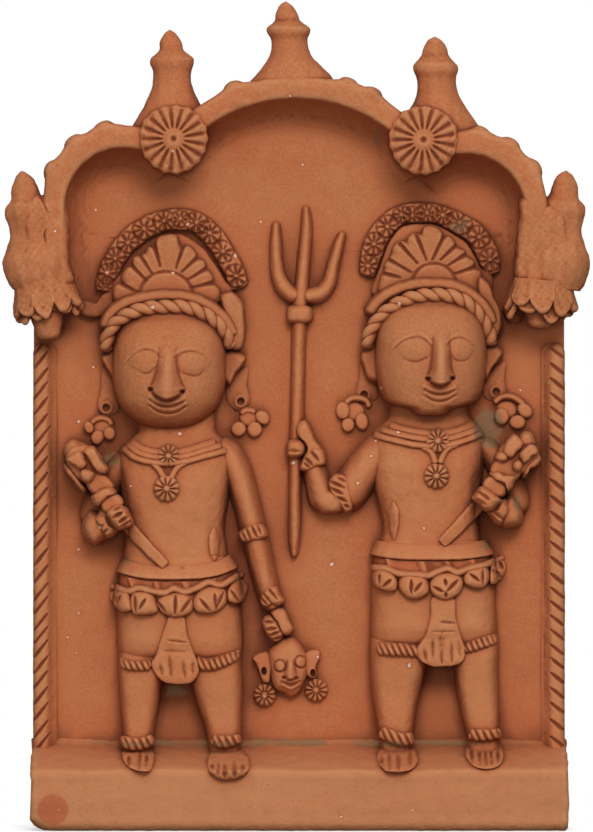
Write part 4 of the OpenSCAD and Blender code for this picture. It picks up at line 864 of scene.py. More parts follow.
def chest(f):
    """Surface of a figure from kilt to neck: the farther of hips and torso."""
    return lambda x, z: np.maximum(hip[f].out(x, z) * step(f * 7 + 141, f * 7 + 136, z), trunk[f].out(x, z))


def notches(x, z, slant, pitch, deep, w):
    """Row of parallel tool cuts: bell curves pitch apart along the direction slant."""
    q = (x * np.cos(slant) + z * np.sin(slant)) / pitch
    return -deep * bell((q % 1 - 0.5) * pitch, w)


def cuts(x, z, lines, deep, w):
    """Wedge cuts along straight lines of the front drawing: at the share t of its length a cut is
    deep (0.4 + 2.4 t (1 - t)) deep and narrows likewise towards both ends."""
    u = 0 * x
    for line in lines:
        t, d = along(x, z, *drawn(line))
        k = 0.4 + 2.4 * t * (1 - t)
        u = u - deep * k * bell(d, w * (0.35 + 0.65 * k))
    return u


def face(f, x, z):
    """Height of the features over a head: faint eyes under lid lines, a nose that widens downwards and ends
    in a sharp curved base with two nostrils, and full lips between two curved lines."""
    upper, lower, balls, nose, base, holes, lips = FACES[f]
    u = 0 * x
    for cx, cz, a, b in drawn(balls):
        u = u - 0.8 * bell(np.hypot((x - cx) / 1.25, (z - cz) / 0.95), b * 1.35)
        u = u + 1.7 * dome(x, z, cx, cz, a, b, 1.0)
    for q in upper:
        d = follow(drawn(q), 24)
        u = u - 0.16 * bell(off_line(x, z, d), 0.6) + 0.3 * bell(off_line(x, z, d + [0, 1.6]), 1.1)
    for q in lower:
        u = u - 0.28 * scored(x, z, q, 0.5)
    high, *sizes = np.array(nose, float).T
    mid, w, h = (np.interp(z, high, k) for k in sizes)
    line = follow(drawn(base), 40)
    sharp = step(-0.7, 0.7, z - np.interp(x, line[:, 0], line[:, 1]))
    u = u + h * np.clip(1 - ((x - mid) / w) ** 2, 0, 1) ** 1.25 * sharp
    u = u - 0.5 * bell(off_line(x, z, line - [0, 0.5]), 0.7)
    for cx, cz in drawn(holes):
        u = u - 4.5 * step(1.25, 0.4, np.hypot((x - cx) * 0.75, z - cz))
    b, c = (follow(drawn(q), 24) for q in lips)
    for line, high, wide in ((b + [0, 1.5], 1.1, 1.3), ((b + c) / 2, 1.2, 1.2), (c - [0, 1.6], 0.5, 1.4)):
        u = u + high * bell(off_line(x, z, line), wide)
    return u - 1.0 * bell(off_line(x, z, b), 0.5) - 0.75 * bell(off_line(x, z, c), 0.5)


# Each face: upper and lower lids, eyes, rows of the nose as z, x, half width and height, line of its base,
# nostrils, and the two lines of the lips
FACES = [([[(125.6, 364), (134, 355), (146, 350), (155, 352), (161, 357.5)],
           [(174.6, 357.5), (183, 352.6), (192.8, 351.7), (203, 355), (211, 361.7)]],
          [[(134.8, 367.5), (147, 373.3), (158, 366)], [(184.5, 373.3), (197.8, 375.8), (206, 367.5)]],
          [(146.4, 361.5, 8.8, 6.0), (194, 363.5, 8.6, 6.0)],
          [(212, -65.8, 8.6, 8.4), (216, -65.8, 9.2, 8.6), (219.5, -65.8, 9.6, 8.2), (223, -65.8, 7.4, 7.2),
           (228, -65.7, 5.6, 5.4), (236, -65.5, 4.4, 2.8), (241, -65.4, 4.2, 1.0), (246, -65.4, 4, 0)],
          [(149, 387), (152, 390.5), (158, 396), (166, 399.5), (176, 397), (181.5, 393), (185, 389)],
          [(151.3, 389.4), (182.3, 391.6)],
          ([(150.5, 400), (158, 404.6), (167, 406.6), (176, 405.4), (184, 401.6)],
           [(150, 405.6), (157.5, 411), (167.7, 413.6), (178, 411.6), (186, 406.4)])),
         ([[(392, 350), (404, 341), (419.5, 337), (426, 340.5), (430, 346)],
           [(447, 345), (452, 339.5), (459, 338), (467, 340.5), (473, 346)]],
          [[(399.7, 354), (407, 359.5), (416, 361.5), (426, 357)],
           [(449, 352), (455, 359.5), (464, 360.5), (471, 354)]],
          [(413.5, 350, 8.8, 6.0), (460, 349.5, 7.0, 5.8)],
          [(219, 70.6, 7.0, 8.4), (223, 70.6, 7.6, 8.6), (226, 70.6, 7.2, 8.2), (230, 70.7, 5.4, 7.4),
           (236, 70.8, 4.6, 5.6), (243, 70.9, 4.2, 2.8), (248, 71, 4, 0.9), (252, 71, 3.8, 0)],
          [(426, 377), (428.4, 379.6), (433, 383), (440, 385), (447, 383), (451.4, 379.4), (454, 376)],
          [(428, 379), (451.7, 378.4)],
          ([(424, 389.6), (431, 392.8), (438, 394.4), (446, 393.6), (454, 390.4)],
           [(426, 396.4), (432, 400), (439, 401.4), (447, 399.8), (455, 395)]))]


def head(f):
    """Egg-shaped head with a flat back; its front carries the face."""
    cx, cz, rows = HEADS[f]
    body = Body([(cz + z, cx, w, d) for z, w, d in rows], 2.9)
    lo, hi = body.rows[0, 0], body.rows[-1, 0]
    z = ((lo + hi) / 2 - (hi - lo) / 2 * np.cos(np.linspace(0.03, PI - 0.03, 174)))[:, None]
    c, v = half_oval(body.e, 174)
    s = body.size(z[:, 0])[:, :, None]
    x, u = s[:, 0] + s[:, 1] * c, s[:, 2] * v
    u = u + face(f, x, z + 0 * x) * step(0.3, 0.7, v)
    return with_back(x, u, z + 0 * x, 0.0)


def halo(path, florets):
    """Flat arched band stamped with florets: round each floret's centre grooves run outwards, with a ring
    groove at its edge and a boss in the middle."""
    def stamp(x, z):
        u = 0 * x
        for cx, cz, r, turn in drawn(florets) + [0, 0, 0.4, 0]:
            d, f = np.hypot(x - cx, z - cz), np.arctan2(z - cz, x - cx)
            arc = spokes(f + turn, 8, np.maximum(d, 0.6), 0.12 * np.sin(2 * f + 9 * turn))
            u = u + step(r + 0.4, r - 0.6, d) * (1.0 - 1.6 * bell(arc, 0.3 + 0.12 * d) * step(0.7, 1.6, d))
            u = u - 0.9 * bell(d - r, 0.6) + 0.5 * bell(d, 0.9)
        return u + 0.4 * uneven(put(x, 0 * x, z), 3.8, 41) + 0.5 * uneven(put(x, 0 * x, z), 6.5, 42)
    rows = drawn([(a, b, w, 6.2) for a, b, w in path])
    return roll(rows, n=354, m=49, e=5, ends=(0.5, 0.5), flare=0.3, detail=stamp)


def crown(edge, disc, parts):
    """Fan of petals: a flat pad with the fan's outline, petals parted by cuts that deepen outwards, and a
    raised half disc at the foot."""
    cx, cz, a, b = drawn([disc])[0]
    def marks(x, z, r):
        q = np.hypot((x - cx) / a, (z - cz) / b)
        u = 0.9 * step(1.04, 0.9, q) - 0.9 * bell((q - 1.06) * a, 0.6)
        for line in parts:
            t, d = along(x, z, *drawn(line))
            u = u - (2.6 - 1.5 * t) * bell(d, 0.95 - 0.35 * t)
        return u
    return pad(drawn(edge), 13.0, p=7.0, rings=54, n=323, detail=marks)


def flower(cx, cz, r, high, turn, base, petals=11):
    """Small stamped flower: pad with radial cuts that widen outwards from near its middle."""
    def marks(x, z, _):
        d, q = np.hypot(x - cx, z - cz), np.arctan2(z - cz, x - cx)
        arc = spokes(q + turn, petals, d)
        return -1.4 * bell(arc, 0.22 + 0.085 * d) * step(0.12 * r, 0.35 * r, d) + 0.4 * bell(d, 0.2 * r)
    return pad(oval(cx, cz, r), high, base=base, p=3.4, sink=2.5, rings=37, n=203, detail=marks)


def leaf(edge, high, base, veins=(), p=2.4, tilt=(0.0, 0.0), deep=0.0, w=1.0, sink=1.5):
    """Pad with the given outline of the front drawing and cut veins."""
    return pad(drawn(edge), high, base=base, p=p, tilt=tilt, n=116, rings=31, sink=sink,
               detail=lambda x, z, r: cuts(x, z, veins, deep, w))


for f, side in enumerate(SIDES):
    fired(side + "_legs", [b.grid(80, 60, 0.8) for b in leg[f]], body_clay, 0.12, 0.12)
    fired(side + "_hips", [hip[f].grid(70, 90, 0.8)], body_clay, 0.12, 0.12)
    fired(side + "_torso", [trunk[f].grid(110, 100, 0.8)], body_clay, 0.2, 0.15)
    fired(side + "_head", [head(f)], upper_clay, 0.06)

# Feet, anklets and garlands
# Each foot: outline and cuts between the toes
FEET = [[([(122, 752), (130, 747), (145, 747), (153, 752), (154, 762), (150, 770), (143, 770), (134, 768),
           (125, 762)], [[(129, 756), (129.5, 764)], [(140, 753.6), (140, 766)], [(147, 755), (146.6, 764)]]),
         ([(208, 764), (211, 752), (222, 747), (236, 748), (247, 756), (250, 765), (245, 773), (232, 778.5),
           (219, 777), (211, 772)],
          [[(212, 763), (213.5, 768)], [(218.9, 762.6), (218.5, 772)], [(224.7, 763), (225, 775)],
           [(234.2, 760.5), (235, 774)], [(243, 763), (243, 770)]])],
        [([(377, 757), (381, 748), (392, 743), (406, 744), (415, 750), (417.5, 760), (411, 768), (396, 771),
           (383, 768)],
          [[(381, 755), (381.5, 764)], [(389, 754.5), (389, 767)], [(398, 755), (398, 767)],
           [(410, 752.4), (409.6, 764)]]),
         ([(465.5, 755), (469, 744), (479, 740), (492, 740), (501, 746), (503.5, 756), (499, 764),
           (487, 767.5), (472, 764.5)],
          [[(471.6, 750), (471.6, 760)], [(479.3, 750.4), (479.3, 762)], [(485.4, 752), (485.6, 763)],
           [(490.5, 751), (491, 762)], [(497.7, 751), (497.4, 760)]])]]
# Rolls here and below: rows of place, half width and height
ANKLETS = [[[(119.5, 739, 2.2, 3.6), (128, 743, 3.2, 4.2), (138, 744, 3.2, 4.2), (148, 741.5, 3.0, 4.0),
             (154.5, 738, 2.2, 3.4)],
            [(211.5, 738, 2.4, 3.6), (220, 741.5, 3.2, 4.2), (230, 741, 3.0, 4.2), (241.5, 738, 2.2, 3.4)]],
           [[(379.5, 731, 2.8, 3.6), (389, 735.5, 3.3, 4.2), (400, 739, 3.3, 4.2), (414, 738.5, 3.0, 3.6)],
            [(468.5, 733.5, 2.6, 3.6), (478, 735, 3.0, 4.2), (490, 734.5, 2.8, 4.2), (501.5, 733, 2.2, 3.4)]]]
GARLANDS = [[[(117.5, 659, 1.8, 3.6), (124, 663.5, 2.3, 4.2), (136, 665.4, 2.5, 4.4), (152, 664.5, 2.6, 4.4)],
             [(194, 660, 2.8, 4.4), (206, 664.4, 3.1, 4.8), (221, 661.5, 3.0, 4.8), (233, 657, 2.6, 4.4),
              (243, 652.5, 2.2, 3.6)]],
            [[(375.5, 648, 3.0, 3.8), (388, 649, 3.3, 4.8), (403, 649.5, 3.2, 4.8), (421, 651.5, 3.0, 4.4)],
             [(463.5, 649.5, 2.4, 4.2), (473.5, 645.4, 2.6, 4.6), (485.5, 641.5, 2.7, 4.6),
              (498.5, 638, 2.4, 3.6)]]]


def thigh(f):
    """Front of a figure's hips and legs together: the greatest of their heights over the slab."""
    return lambda x, z: np.maximum(hip[f].out(x, z), np.maximum(leg[f][0].out(x, z), leg[f][1].out(x, z)))


def ledge(x, z):
    """Height of the plinth's front and sloping top over the slab, read from its section."""
    return np.interp(z, [30, 31.5, 34.7, 40.9, 43], [38.2, 34, 24, 5, 1])


for f, side in enumerate(SIDES):
    feet = [leaf(e, 6.6, ledge, v, p=3.2, deep=4.2, w=1.2, sink=4) for e, v in FEET[f]]
    fired(side + "_feet", feet, body_clay, 0.16, 0.3)
    rings = [roll(drawn(r), base=b.out, n=116, e=3, ends=(0.6, 0.6), flare=0.2,
                  detail=lambda x, z: notches(x, z, 0.42, 3.3, 1.7, 0.7))
             for r, b in zip(ANKLETS[f], cuff[f])]
    fired(side + "_anklets", rings, body_clay, 0.1)
    rings = [roll(drawn(r), base=thigh(f), n=146, e=2.6, ends=(0.8, 0.8), flare=0.2,
                  detail=lambda x, z: notches(x, z, 0.42, 2.8, 1.7, 0.62))
             for r in GARLANDS[f]]
    fired(side + "_thigh_garlands", rings, body_clay, 0.1)

# Kilt: sash, petals, frill with its hem, and waistband
# Each sash: outline, lines across it and folds down it
SASH = [([(170.9, 614), (165.5, 625.5), (160, 641.7), (155, 657), (151.4, 663), (154.5, 672), (164.4, 681.5),
          (175.2, 683.5), (191.5, 681.8), (199, 673), (198.5, 663.4), (193.7, 651), (188.2, 635.2),
          (181.7, 614)], [[(167.6, 639.6), (186, 641.7)], [(165.5, 650.4), (185, 651.5)]],
         [[(160.5, 664), (163, 675)], [(169.8, 658), (171.5, 675)], [(182.8, 661), (185.5, 677)],
          [(193, 661), (193, 673)]]),
        ([(432, 597), (430.2, 616), (425.2, 634), (419.3, 644), (415.4, 652), (419.3, 659), (429.2, 665),
          (445, 666), (454.9, 665), (463.8, 658.7), (464.8, 649.8), (460.8, 636), (455.9, 618), (452.9, 597)],
         [[(439, 621.3), (456, 622.6)], [(432, 631), (454.9, 631)]],
         [[(424, 649), (426, 660)], [(433, 640), (432.6, 657)], [(440.6, 637), (441.5, 662)],
          [(451, 643), (451.5, 661)], [(458.5, 641), (460, 656)]])]
# Each petal: outline and veins
PETALS = [[([(108.6, 597.3), (112.3, 590), (121, 589), (128.6, 590), (130.8, 598.4), (130.8, 610.3),
             (123.2, 612), (115.6, 607), (110.2, 601.5)],
            [[(113.4, 595), (116.7, 603.8)], [(120.5, 595), (116.5, 603.8)]]),
           ([(129.9, 597.3), (133, 590), (141.6, 589), (153.5, 593), (156.8, 601.6), (158, 611), (147, 614.6),
             (135, 614), (130.4, 606)], [[(135, 596.2), (135.7, 611.4)], [(146, 598.4), (139.5, 608.7)]]),
           ([(156.8, 601.6), (163, 594), (175.2, 591), (187.2, 592), (192.6, 598.4), (192.6, 610),
             (183.9, 615.7), (173, 616.6), (162.2, 611.4)],
            [[(157.9, 601.6), (165.5, 611.4)], [(175.8, 595), (175.2, 613.5)],
             [(191, 598.4), (181.7, 611.4)]]),
           ([(193, 600.5), (199, 590), (210, 585), (221.8, 586), (227.3, 593), (226.2, 602.7), (218.6, 610.3),
             (206.7, 613), (195.8, 610.4)],
            [[(200, 598.4), (210, 610.3)], [(214.8, 594), (216.4, 609.2)], [(223.5, 592.4), (216.8, 607)]]),
           ([(226.9, 595), (230.5, 584.5), (241.4, 579), (248.4, 585.4), (247.4, 594), (241.4, 602),
             (233.8, 603), (228.4, 600.5)], [[(231, 590.2), (239.2, 601.6)], [(241.4, 583.2), (242, 595)]])],
          [([(371.9, 574.7), (376.8, 566), (386.7, 568), (394.6, 574), (397.4, 581.6), (396, 589.5),
             (383.7, 590.5), (374.8, 585.5)],
            [[(379.3, 574.7), (378.8, 582.6)], [(390.6, 579.6), (382.7, 586.5)]]),
           ([(398.6, 579.6), (403.5, 572), (415.4, 572.5), (425.2, 575), (428.4, 583), (428, 592.5),
             (419.3, 597.8), (410.4, 598.4), (402.5, 593), (398.4, 586.5)],
            [[(410.9, 579.6), (410.9, 593.4)], [(421.3, 582.6), (414.4, 591)]]),
           ([(429.4, 582.6), (435, 573), (445, 571), (455.9, 571.5), (462.8, 579.6), (461.8, 588.5),
             (452.9, 597.6), (443, 599.4), (433, 594.4)],
            [[(433, 586.5), (443, 591.5)], [(444.5, 578.6), (446, 585.5)], [(457.9, 579.6), (447, 590.5)],
             [(445.5, 591.5), (445.5, 597)]]),
           ([(463, 577.6), (466.8, 569), (475.7, 566), (485.5, 564.5), (489.6, 572.7), (488.5, 581.6),
             (480.6, 588), (471.7, 587), (464.8, 583.6)],
            [[(469.7, 573.7), (478.6, 580.6)], [(482.6, 569.7), (482.6, 584.5)]]),
           ([(489.8, 571.7), (493.5, 561), (502.3, 556.8), (507.3, 565.7), (505.3, 574.7), (499.4, 582),
             (491.5, 584)], [[(492.5, 569.7), (501.4, 577.6)], [(500, 562), (503, 569)]])]]
HEMS = [[(109.5, 586.5), (119, 589), (128.6, 591.2), (138.4, 588.2), (154.6, 591.6), (164.4, 592.6),
         (174, 588.8), (185, 591.8), (198, 587.4), (208.8, 582.4), (221, 585), (233, 579), (244.5, 574)],
        [(370.5, 568), (384.7, 568.6), (398.6, 573.4), (415.4, 574.4), (429.2, 575.2), (438, 571.4),
         (447, 568.6), (456.9, 572.2), (468.7, 568.4), (483.6, 565.2), (494, 562), (505, 557)]]
# Waistband: height of its middle, rise, sag and width
WAIST = [(131.6, 2.4, 4.6, 7.0), (140.6, 0.2, 2.4, 7.8)]


def sash(f):
    """Hanging end of a cloth over hips and legs: pad with shallow tool lines across and folds down it."""
    edge, lines, folds = SASH[f]
    return pad(drawn(edge), 2.8, base=lambda x, z: np.maximum(thigh(f)(x, z), 22.0), p=5, sink=3,
               rings=46, n=200,
               detail=lambda x, z, r: cuts(x, z, lines, 0.6, 0.8) + cuts(x, z, folds, 1.0, 1.6))


def pleats(x, z, t, v):
    """Upright ridges of the frill: bell curves 13.4 mm apart that lean and waver with x."""
    return 1.7 * bell((((x + 0.3 * z) / 13.4 + 0.1 * np.sin(x / 6)) % 1 - 0.5) * 13.4, 1.5) + 0 * v


def round_waist(f, drop, more):
    """Height of a band round the waist at the angle t: it rises to the right and sags in front."""
    mid, rise, sag, _ = WAIST[f]
    return lambda t: mid - drop + rise * t / PI - (sag + more) * np.sin(t) ** 2


for f, side in enumerate(SIDES):
    fired(side + "_sash", [sash(f)], body_clay, 0.1)
    petals = [leaf(e, 5.0, skirt[f].out, v, p=2.2, tilt=(0, -0.14), deep=2.3, w=0.8, sink=3)
              for e, v in PETALS[f]]
    fired(side + "_kilt_petals", petals, body_clay, 0.1, 0.25)
    cloth = band(hip[f], round_waist(f, 8.4, 0.6), 9.5, 1.2, 0.05, 20, 8, detail=pleats)
    rows = drawn([(a, b, 1.8, 3.8) for a, b in HEMS[f]])
    hem = roll(rows, base=skirt[f].out, n=200, m=20, ends=(1, 1), flare=0.2)
    fired(side + "_frill", [cloth, hem], cloth_clay, 0.12, (-0.9, 0.5))
    belt = band(hip[f], round_waist(f, 0.0, 0.0), WAIST[f][3], 2.4, 0.02, 40, 3.6, 0.75)
    fired(side + "_waistband", [belt], body_clay, 0.1, 0.2)

# Crown, halo, rope and roll
# Each crown: outline, half disc at its foot, and cuts between the petals
CROWN = [([(112.5, 300), (112, 291), (116, 284), (120.5, 283.6), (121, 276), (126.5, 267), (130.6, 265),
           (133, 257), (139, 254.4), (144, 252.6), (149, 246), (154, 246), (157, 238), (166, 233.8),
           (176, 234.6), (182, 246), (187, 244.6), (196, 252), (198, 257), (205, 261), (207.4, 268),
           (213, 275), (214.4, 283), (220.5, 290), (222, 300), (205, 306), (166, 308), (130, 306)],
          (166, 295.5, 12.6, 11.4),
          [[(117.6, 281.6), (138, 293)], [(127.8, 262), (145, 279.5)], [(138, 252), (151.5, 273)],
           [(153.6, 243.5), (160, 266)], [(184, 244), (176, 268)], [(200, 255), (181.5, 272)],
           [(209.8, 266.4), (188, 279.6)], [(217, 281.6), (191.5, 288)]]),
         ([(378, 292), (379, 281), (381, 274), (383.6, 270), (384, 264), (387.6, 259), (391, 254), (393, 246),
           (401, 240), (405, 240.6), (409, 235.4), (416, 232), (420, 233), (424, 226.6), (434, 225.4),
           (441, 230), (445, 236), (449, 235.4), (455, 241), (457.4, 246), (465, 250), (468, 256), (475, 261),
           (476, 267.4), (482, 272), (483, 282), (485, 292), (465, 300), (433, 302), (400, 300)],
          (434, 284, 10.4, 9.8),
          [[(380.5, 272.5), (400, 277.5)], [(387.6, 258.6), (411, 272.4)], [(400, 243.6), (417.2, 263)],
           [(416.4, 234.6), (426.6, 260.4)], [(445, 234), (432.6, 259.6)], [(458.6, 243), (441, 259.6)],
           [(469, 252.4), (448, 265.6)], [(479, 265.6), (455, 274)]])]
BACKING = [[(108, 300), (112, 284), (123, 270), (134, 258.6), (149, 247), (160, 239), (168, 234),
            (178, 233.5), (187, 236.5), (197, 243), (206, 251), (213, 261), (220, 271.5), (226, 281),
            (232, 290), (226, 302), (166, 308)],
           [(372, 292), (375.8, 277), (382.7, 258.6), (391.3, 237.9), (403.4, 225.8), (422.3, 223.6),
            (434.4, 224.1), (443, 227.6), (455, 234.6), (467, 243), (475, 255.5), (482.6, 269), (493, 276),
            (492, 290), (470, 303), (433, 305), (395, 303)]]
# Each halo: rows of place and half width, and florets as place, radius and turn
HALO = [([(104, 293, 4.6), (106, 279, 5.2), (113, 262, 5.4), (124, 245, 5.6), (141, 230.5, 5.8),
          (160, 221.5, 5.4), (180, 218.8, 5.4), (197, 222.6, 5.4), (211, 234, 5.4), (223, 251, 5.2),
          (233, 269, 5.2), (240, 289, 4.8)],
         [(105, 290, 4.4, 0.1), (106.5, 274, 4.6, 0.4), (115, 258.5, 5, 0.2), (127.5, 242.5, 5, 0.5),
          (144, 228.6, 5.4, 0), (164, 220.8, 5, 0.3), (180, 218.6, 4, 0.6), (196.6, 222.4, 5.2, 0.2),
          (209.5, 232.7, 5.2, 0.4), (222.5, 251.7, 5.2, 0.1), (236, 276, 5.4, 0.3)]),
        ([(367.4, 277, 3.8), (370.8, 257.5, 5.2), (375.4, 243, 5.7), (385.5, 226.6, 5.4), (398.4, 215.6, 4.8),
          (419.6, 212.3, 5.1), (437.2, 213.6, 4.8), (457.5, 222.4, 5.3), (474, 232.1, 5.3), (484.8, 247, 5.7),
          (490.4, 261.2, 5.5), (492.4, 275, 3.6)],
         [(368, 265.5, 4.9, 0.1), (374, 244, 5.3, 0.4), (387.5, 226.2, 5.2, 0.2), (402, 214.4, 4, 0.5),
          (412.5, 215.6, 4.2, 0), (427.5, 213, 4.6, 0.3), (443, 215, 4.6, 0.3), (460, 222.4, 6, 0.2),
          (479.4, 237, 5.4, 0.4), (490.4, 260, 5.4, 0.1)])]
# Head rope: rows of place and u
ROPE = [[(106, 352, 13), (107.5, 338, 15.5), (114, 325, 18), (135, 311.5, 21), (163, 307, 22),
         (190, 308.4, 21.5), (215, 321, 19), (226, 334, 16.5), (231.5, 349, 13)],
        [(367, 349, 13), (369, 336, 15.5), (378, 320, 18), (400, 302.6, 21), (433, 295, 22), (463, 300.6, 21),
         (480, 316, 18), (488.5, 331, 15.5), (491.5, 346, 13)]]
ROLL = [[(103.5, 331), (110, 315), (122, 305), (145, 298), (168, 295.8), (192, 298.6), (213, 309), (227, 323),
         (235, 339)],
        [(368, 316), (378, 302), (391, 292.6), (410, 286), (433, 284), (457, 287.4), (474, 297), (487, 310),
         (494, 327)]]
FLAP = [[(220.7, 293.9), (231, 291.3), (241.4, 299.9), (244.8, 320.6), (244.8, 337.8), (239.7, 349.8),
         (232.8, 349.8), (236, 336), (231, 324), (222.5, 310.2)],
        [(480, 275.8), (487.8, 281), (494.7, 296.5), (501.6, 312), (501.6, 327.5), (496.4, 336), (492, 331),
         (488.5, 318.8), (482.6, 306.8), (477.5, 296.5)]]
for f, side in enumerate(SIDES):
    fired(side + "_halo", [halo(*HALO[f])], upper_clay, 0.1, -0.1)
    backing = pad(drawn(BACKING[f]), 7.0, p=9, rings=31, n=169)
    fired(side + "_crown", [crown(*CROWN[f]), backing], upper_clay, 0.12, (0.0, -0.4))
    rows = drawn([(a, b, 3.8, 21.5 - 0.24 * (i - 4) ** 2) for i, (a, b) in enumerate(ROLL[f])])
    fired(side + "_head_roll", [roll(rows, n=116, m=34, e=3.2, ends=(0.8, 0.8), flare=0.0),
                                leaf(FLAP[f], 16.0, 0.0, p=6)], upper_clay, 0.16, 0.15)
    fired(side + "_head_rope", [rope(drawn(ROPE[f]), 3.4, 7.0, 0.3)], upper_clay, 0.1, 0.1)

# Ears with long pierced lobes, and earrings of pellets on a plate under a strap
EARS = [[[(116, 350), (106, 352), (101.5, 354.5), (101, 358.5), (104, 364.5), (109, 373), (114, 380),
          (120, 372)],
         [(224, 351), (236, 350.5), (243, 353), (246.5, 357.5), (244, 363.5), (236, 373.5), (229, 385),
          (222, 380)]],
        [[(377, 344), (368, 347), (362, 350.5), (360.6, 355.5), (363, 366), (369, 380), (376, 382)],
         [(484, 344), (494, 344.5), (501, 347), (503.4, 351.5), (500, 359), (492, 369), (486, 380),
          (481, 368)]]]
LOBES_LOW = [[[(104, 366), (114, 372), (118, 390), (117, 412), (104, 416), (98, 410), (99.5, 390)],
              [(229, 378), (238, 370), (247, 366), (247.5, 385), (249, 404), (242, 411), (229, 405),
               (225, 392)]],
             [[(362, 362), (370, 372), (377, 384), (378, 398), (368, 403), (356, 400), (358.5, 380)],
              [(488, 375), (496, 366), (505, 360), (505.5, 380), (506, 395), (498, 401), (485, 397),
               (482, 388)]]]
# Each earring: plate, pellets and strap
RINGS = [[((103, 428, 11, 9),
           [(88.5, 427.5, 4.6, 6.2, 0.3), (97, 437.5, 6.4, 7.4, -0.3), (109, 433.5, 6.2, 6.6, 0.2)],
           [(90, 424), (95, 420), (102, 418.4), (108, 420.6), (112, 426)]),
          ((249, 418, 10, 9),
           [(262.5, 417.5, 8, 6.2, -0.7), (238.3, 429, 7.6, 7.2, 0), (254.7, 429.3, 7.3, 7.7, 0)],
           [(241, 415), (244, 411), (250, 410.5), (256, 413)])],
         [((354, 412, 11, 10),
           [(343, 410.5, 7.2, 8.7, 0.1), (348.2, 425, 6.4, 7.0, 0), (362, 421.4, 6.4, 8.7, 0.15)],
           [(345, 404), (351, 399), (359, 398), (367, 401), (370, 408)]),
          ((507, 410, 11, 9),
           [(525.5, 410.5, 8.2, 6.4, -0.75), (502.2, 416.2, 7.4, 8.4, 0.1), (517.9, 422.3, 8.0, 7.2, 0)],
           [(494, 403), (502, 397), (511, 396.5), (520, 401), (526, 407)])]]


def ear_lobe(edge, hole):
    """Long soft lobe: pad with a round hole under a raised rim."""
    hx, hz = hole
    def marks(x, z, r):
        d = np.hypot(x - hx, z - hz)
        return 0.6 * bell(d - 2.7, 0.8) - 9.5 * np.clip(1 - d / 1.75, 0, 1) ** 0.5
    return pad(drawn(edge), 2.2, p=2.4, rings=62, n=169, detail=marks)


def earring(plate, pellets, strap):
    """Oval plate that carries three oval pellets [x, z, width, height, turn] under a bent strap."""
    x, z, wide, tall = drawn([plate])[0]
    grids = [pad(oval(x, z, wide / 2, tall / 2), 3.0, p=3.0, rings=15, n=46)]
    for x, z, w, h, q in drawn(pellets):
        grids.append(pad(oval(x, z, w / 2 + 0.2, h / 2 + 0.2, q), 4.8, p=4.0, rings=18, n=46))
    rows = drawn([(a, b, 1.7, 4.2) for a, b in strap])
    return grids + [roll(rows, n=46, m=18, ends=(0.8, 0.8), flare=0.3)]


for f, side in enumerate(SIDES):
    grids = [pad(drawn(e), 11.0, p=4, rings=31, n=116, detail=lambda x, z, r: -0.7 * step(0.8, 0.2, r))
             for e in EARS[f]]
    grids += [ear_lobe(e, hole) for e, hole in zip(LOBES_LOW[f], PIERCED[2 * f:2 * f + 2])]
    fired(side + "_ears", grids, upper_clay, 0.1)
    fired(side + "_earrings", [g for ring in RINGS[f] for g in earring(*ring)], body_clay, 0.1)

# Necklaces and medallions
NECK = [[[(121, 447), (135, 457.5), (152, 462), (168, 463), (184, 461.5), (205, 456), (228, 450)],
         [(126, 443.5), (138, 452), (154, 456.6), (168, 457.6), (183, 456.4), (203, 450.6), (222, 445)],
         [(130, 440.6), (141, 447.6), (155, 451.6), (168, 452.6), (182, 451.4), (200, 446), (216, 441)]],
        [[(371, 434), (392, 439.6), (415, 444.6), (437, 446), (452, 444), (470, 438.6), (484, 433)],
         [(380, 429), (398, 434), (417, 438), (437, 439.4), (452, 437.6), (468, 432.6), (481, 427)],
         [(389, 424.6), (403, 428.6), (419, 432), (437, 433.4), (452, 431.6), (466, 427), (478, 421.6)]]]
STRANDS = [[[(151, 462), (158, 468), (166, 480)], [(187, 461), (178, 467), (170, 480)]],
           [[(421, 446), (430, 451), (436, 464)], [(459, 442.6), (447, 449), (439, 464)]]]
# Medallions: place, radius and turn
MEDALS = [[(168.6, 455.6, 5.6, 0.1), (166.8, 488.6, 6.6, 0.3)],
          [(437.6, 440.6, 6.0, 0.2), (436.2, 476, 6.4, 0.0)]]
for f, side in enumerate(SIDES):
    coils = [(q, 1.75, h, 108) for q, h in zip(NECK[f], (3.2, 2.6, 2.2))]
    coils += [(q, 1.7, 2.6, 46) for q in STRANDS[f]]
    strips = [roll(drawn([(a, b, w, h) for a, b in q]), base=chest(f), n=n, m=18, ends=(0.8, 0.8), flare=0.1)
              for q, w, h, n in coils]
    fired(side + "_necklace", strips, body_clay, 0.1)
    medals = [flower(x, z, r, 4.6, q, chest(f)) for x, z, r, q in drawn(MEDALS[f])]
    fired(side + "_medallions", medals, body_clay, 0.08, 0.9)

# Arms, clubs, trident and held head
HANGING_ARM = [(212, 445, 5.5, 13), (225, 453, 7.2, 15), (234, 467, 7.2, 16), (240, 482, 6.8, 16),
               (245.5, 500, 6.4, 16), (251, 522, 6.2, 15.5), (258, 552, 5.9, 15), (266, 585, 5.6, 14),
               (274, 612, 5, 13)]
HANGING_HAND = [(261.6, 620.7), (264.4, 615.7), (270.1, 614.3), (274.4, 617.9), (278.7, 623.6), (281.6, 630),
                (283.7, 635.7), (281.6, 640), (275.1, 642.9), (270.9, 640), (265.9, 634.3), (262.3, 627.1)]
HANGING_FINGERS = [[(264, 622.1), (273.6, 622.1)], [(265.9, 630), (276.2, 628.4)],
                   [(270, 635.7), (279.8, 632)], [(273.7, 640), (282.6, 637)]]
HANGING_THUMB = [(270, 612.1), (276, 607.9), (283, 608.6), (286.7, 612.9), (290.3, 621.4), (293.6, 630),
                 (291.6, 633.6), (286.6, 636), (282.6, 635), (279, 628.6), (275.5, 621.4), (272, 617.1)]
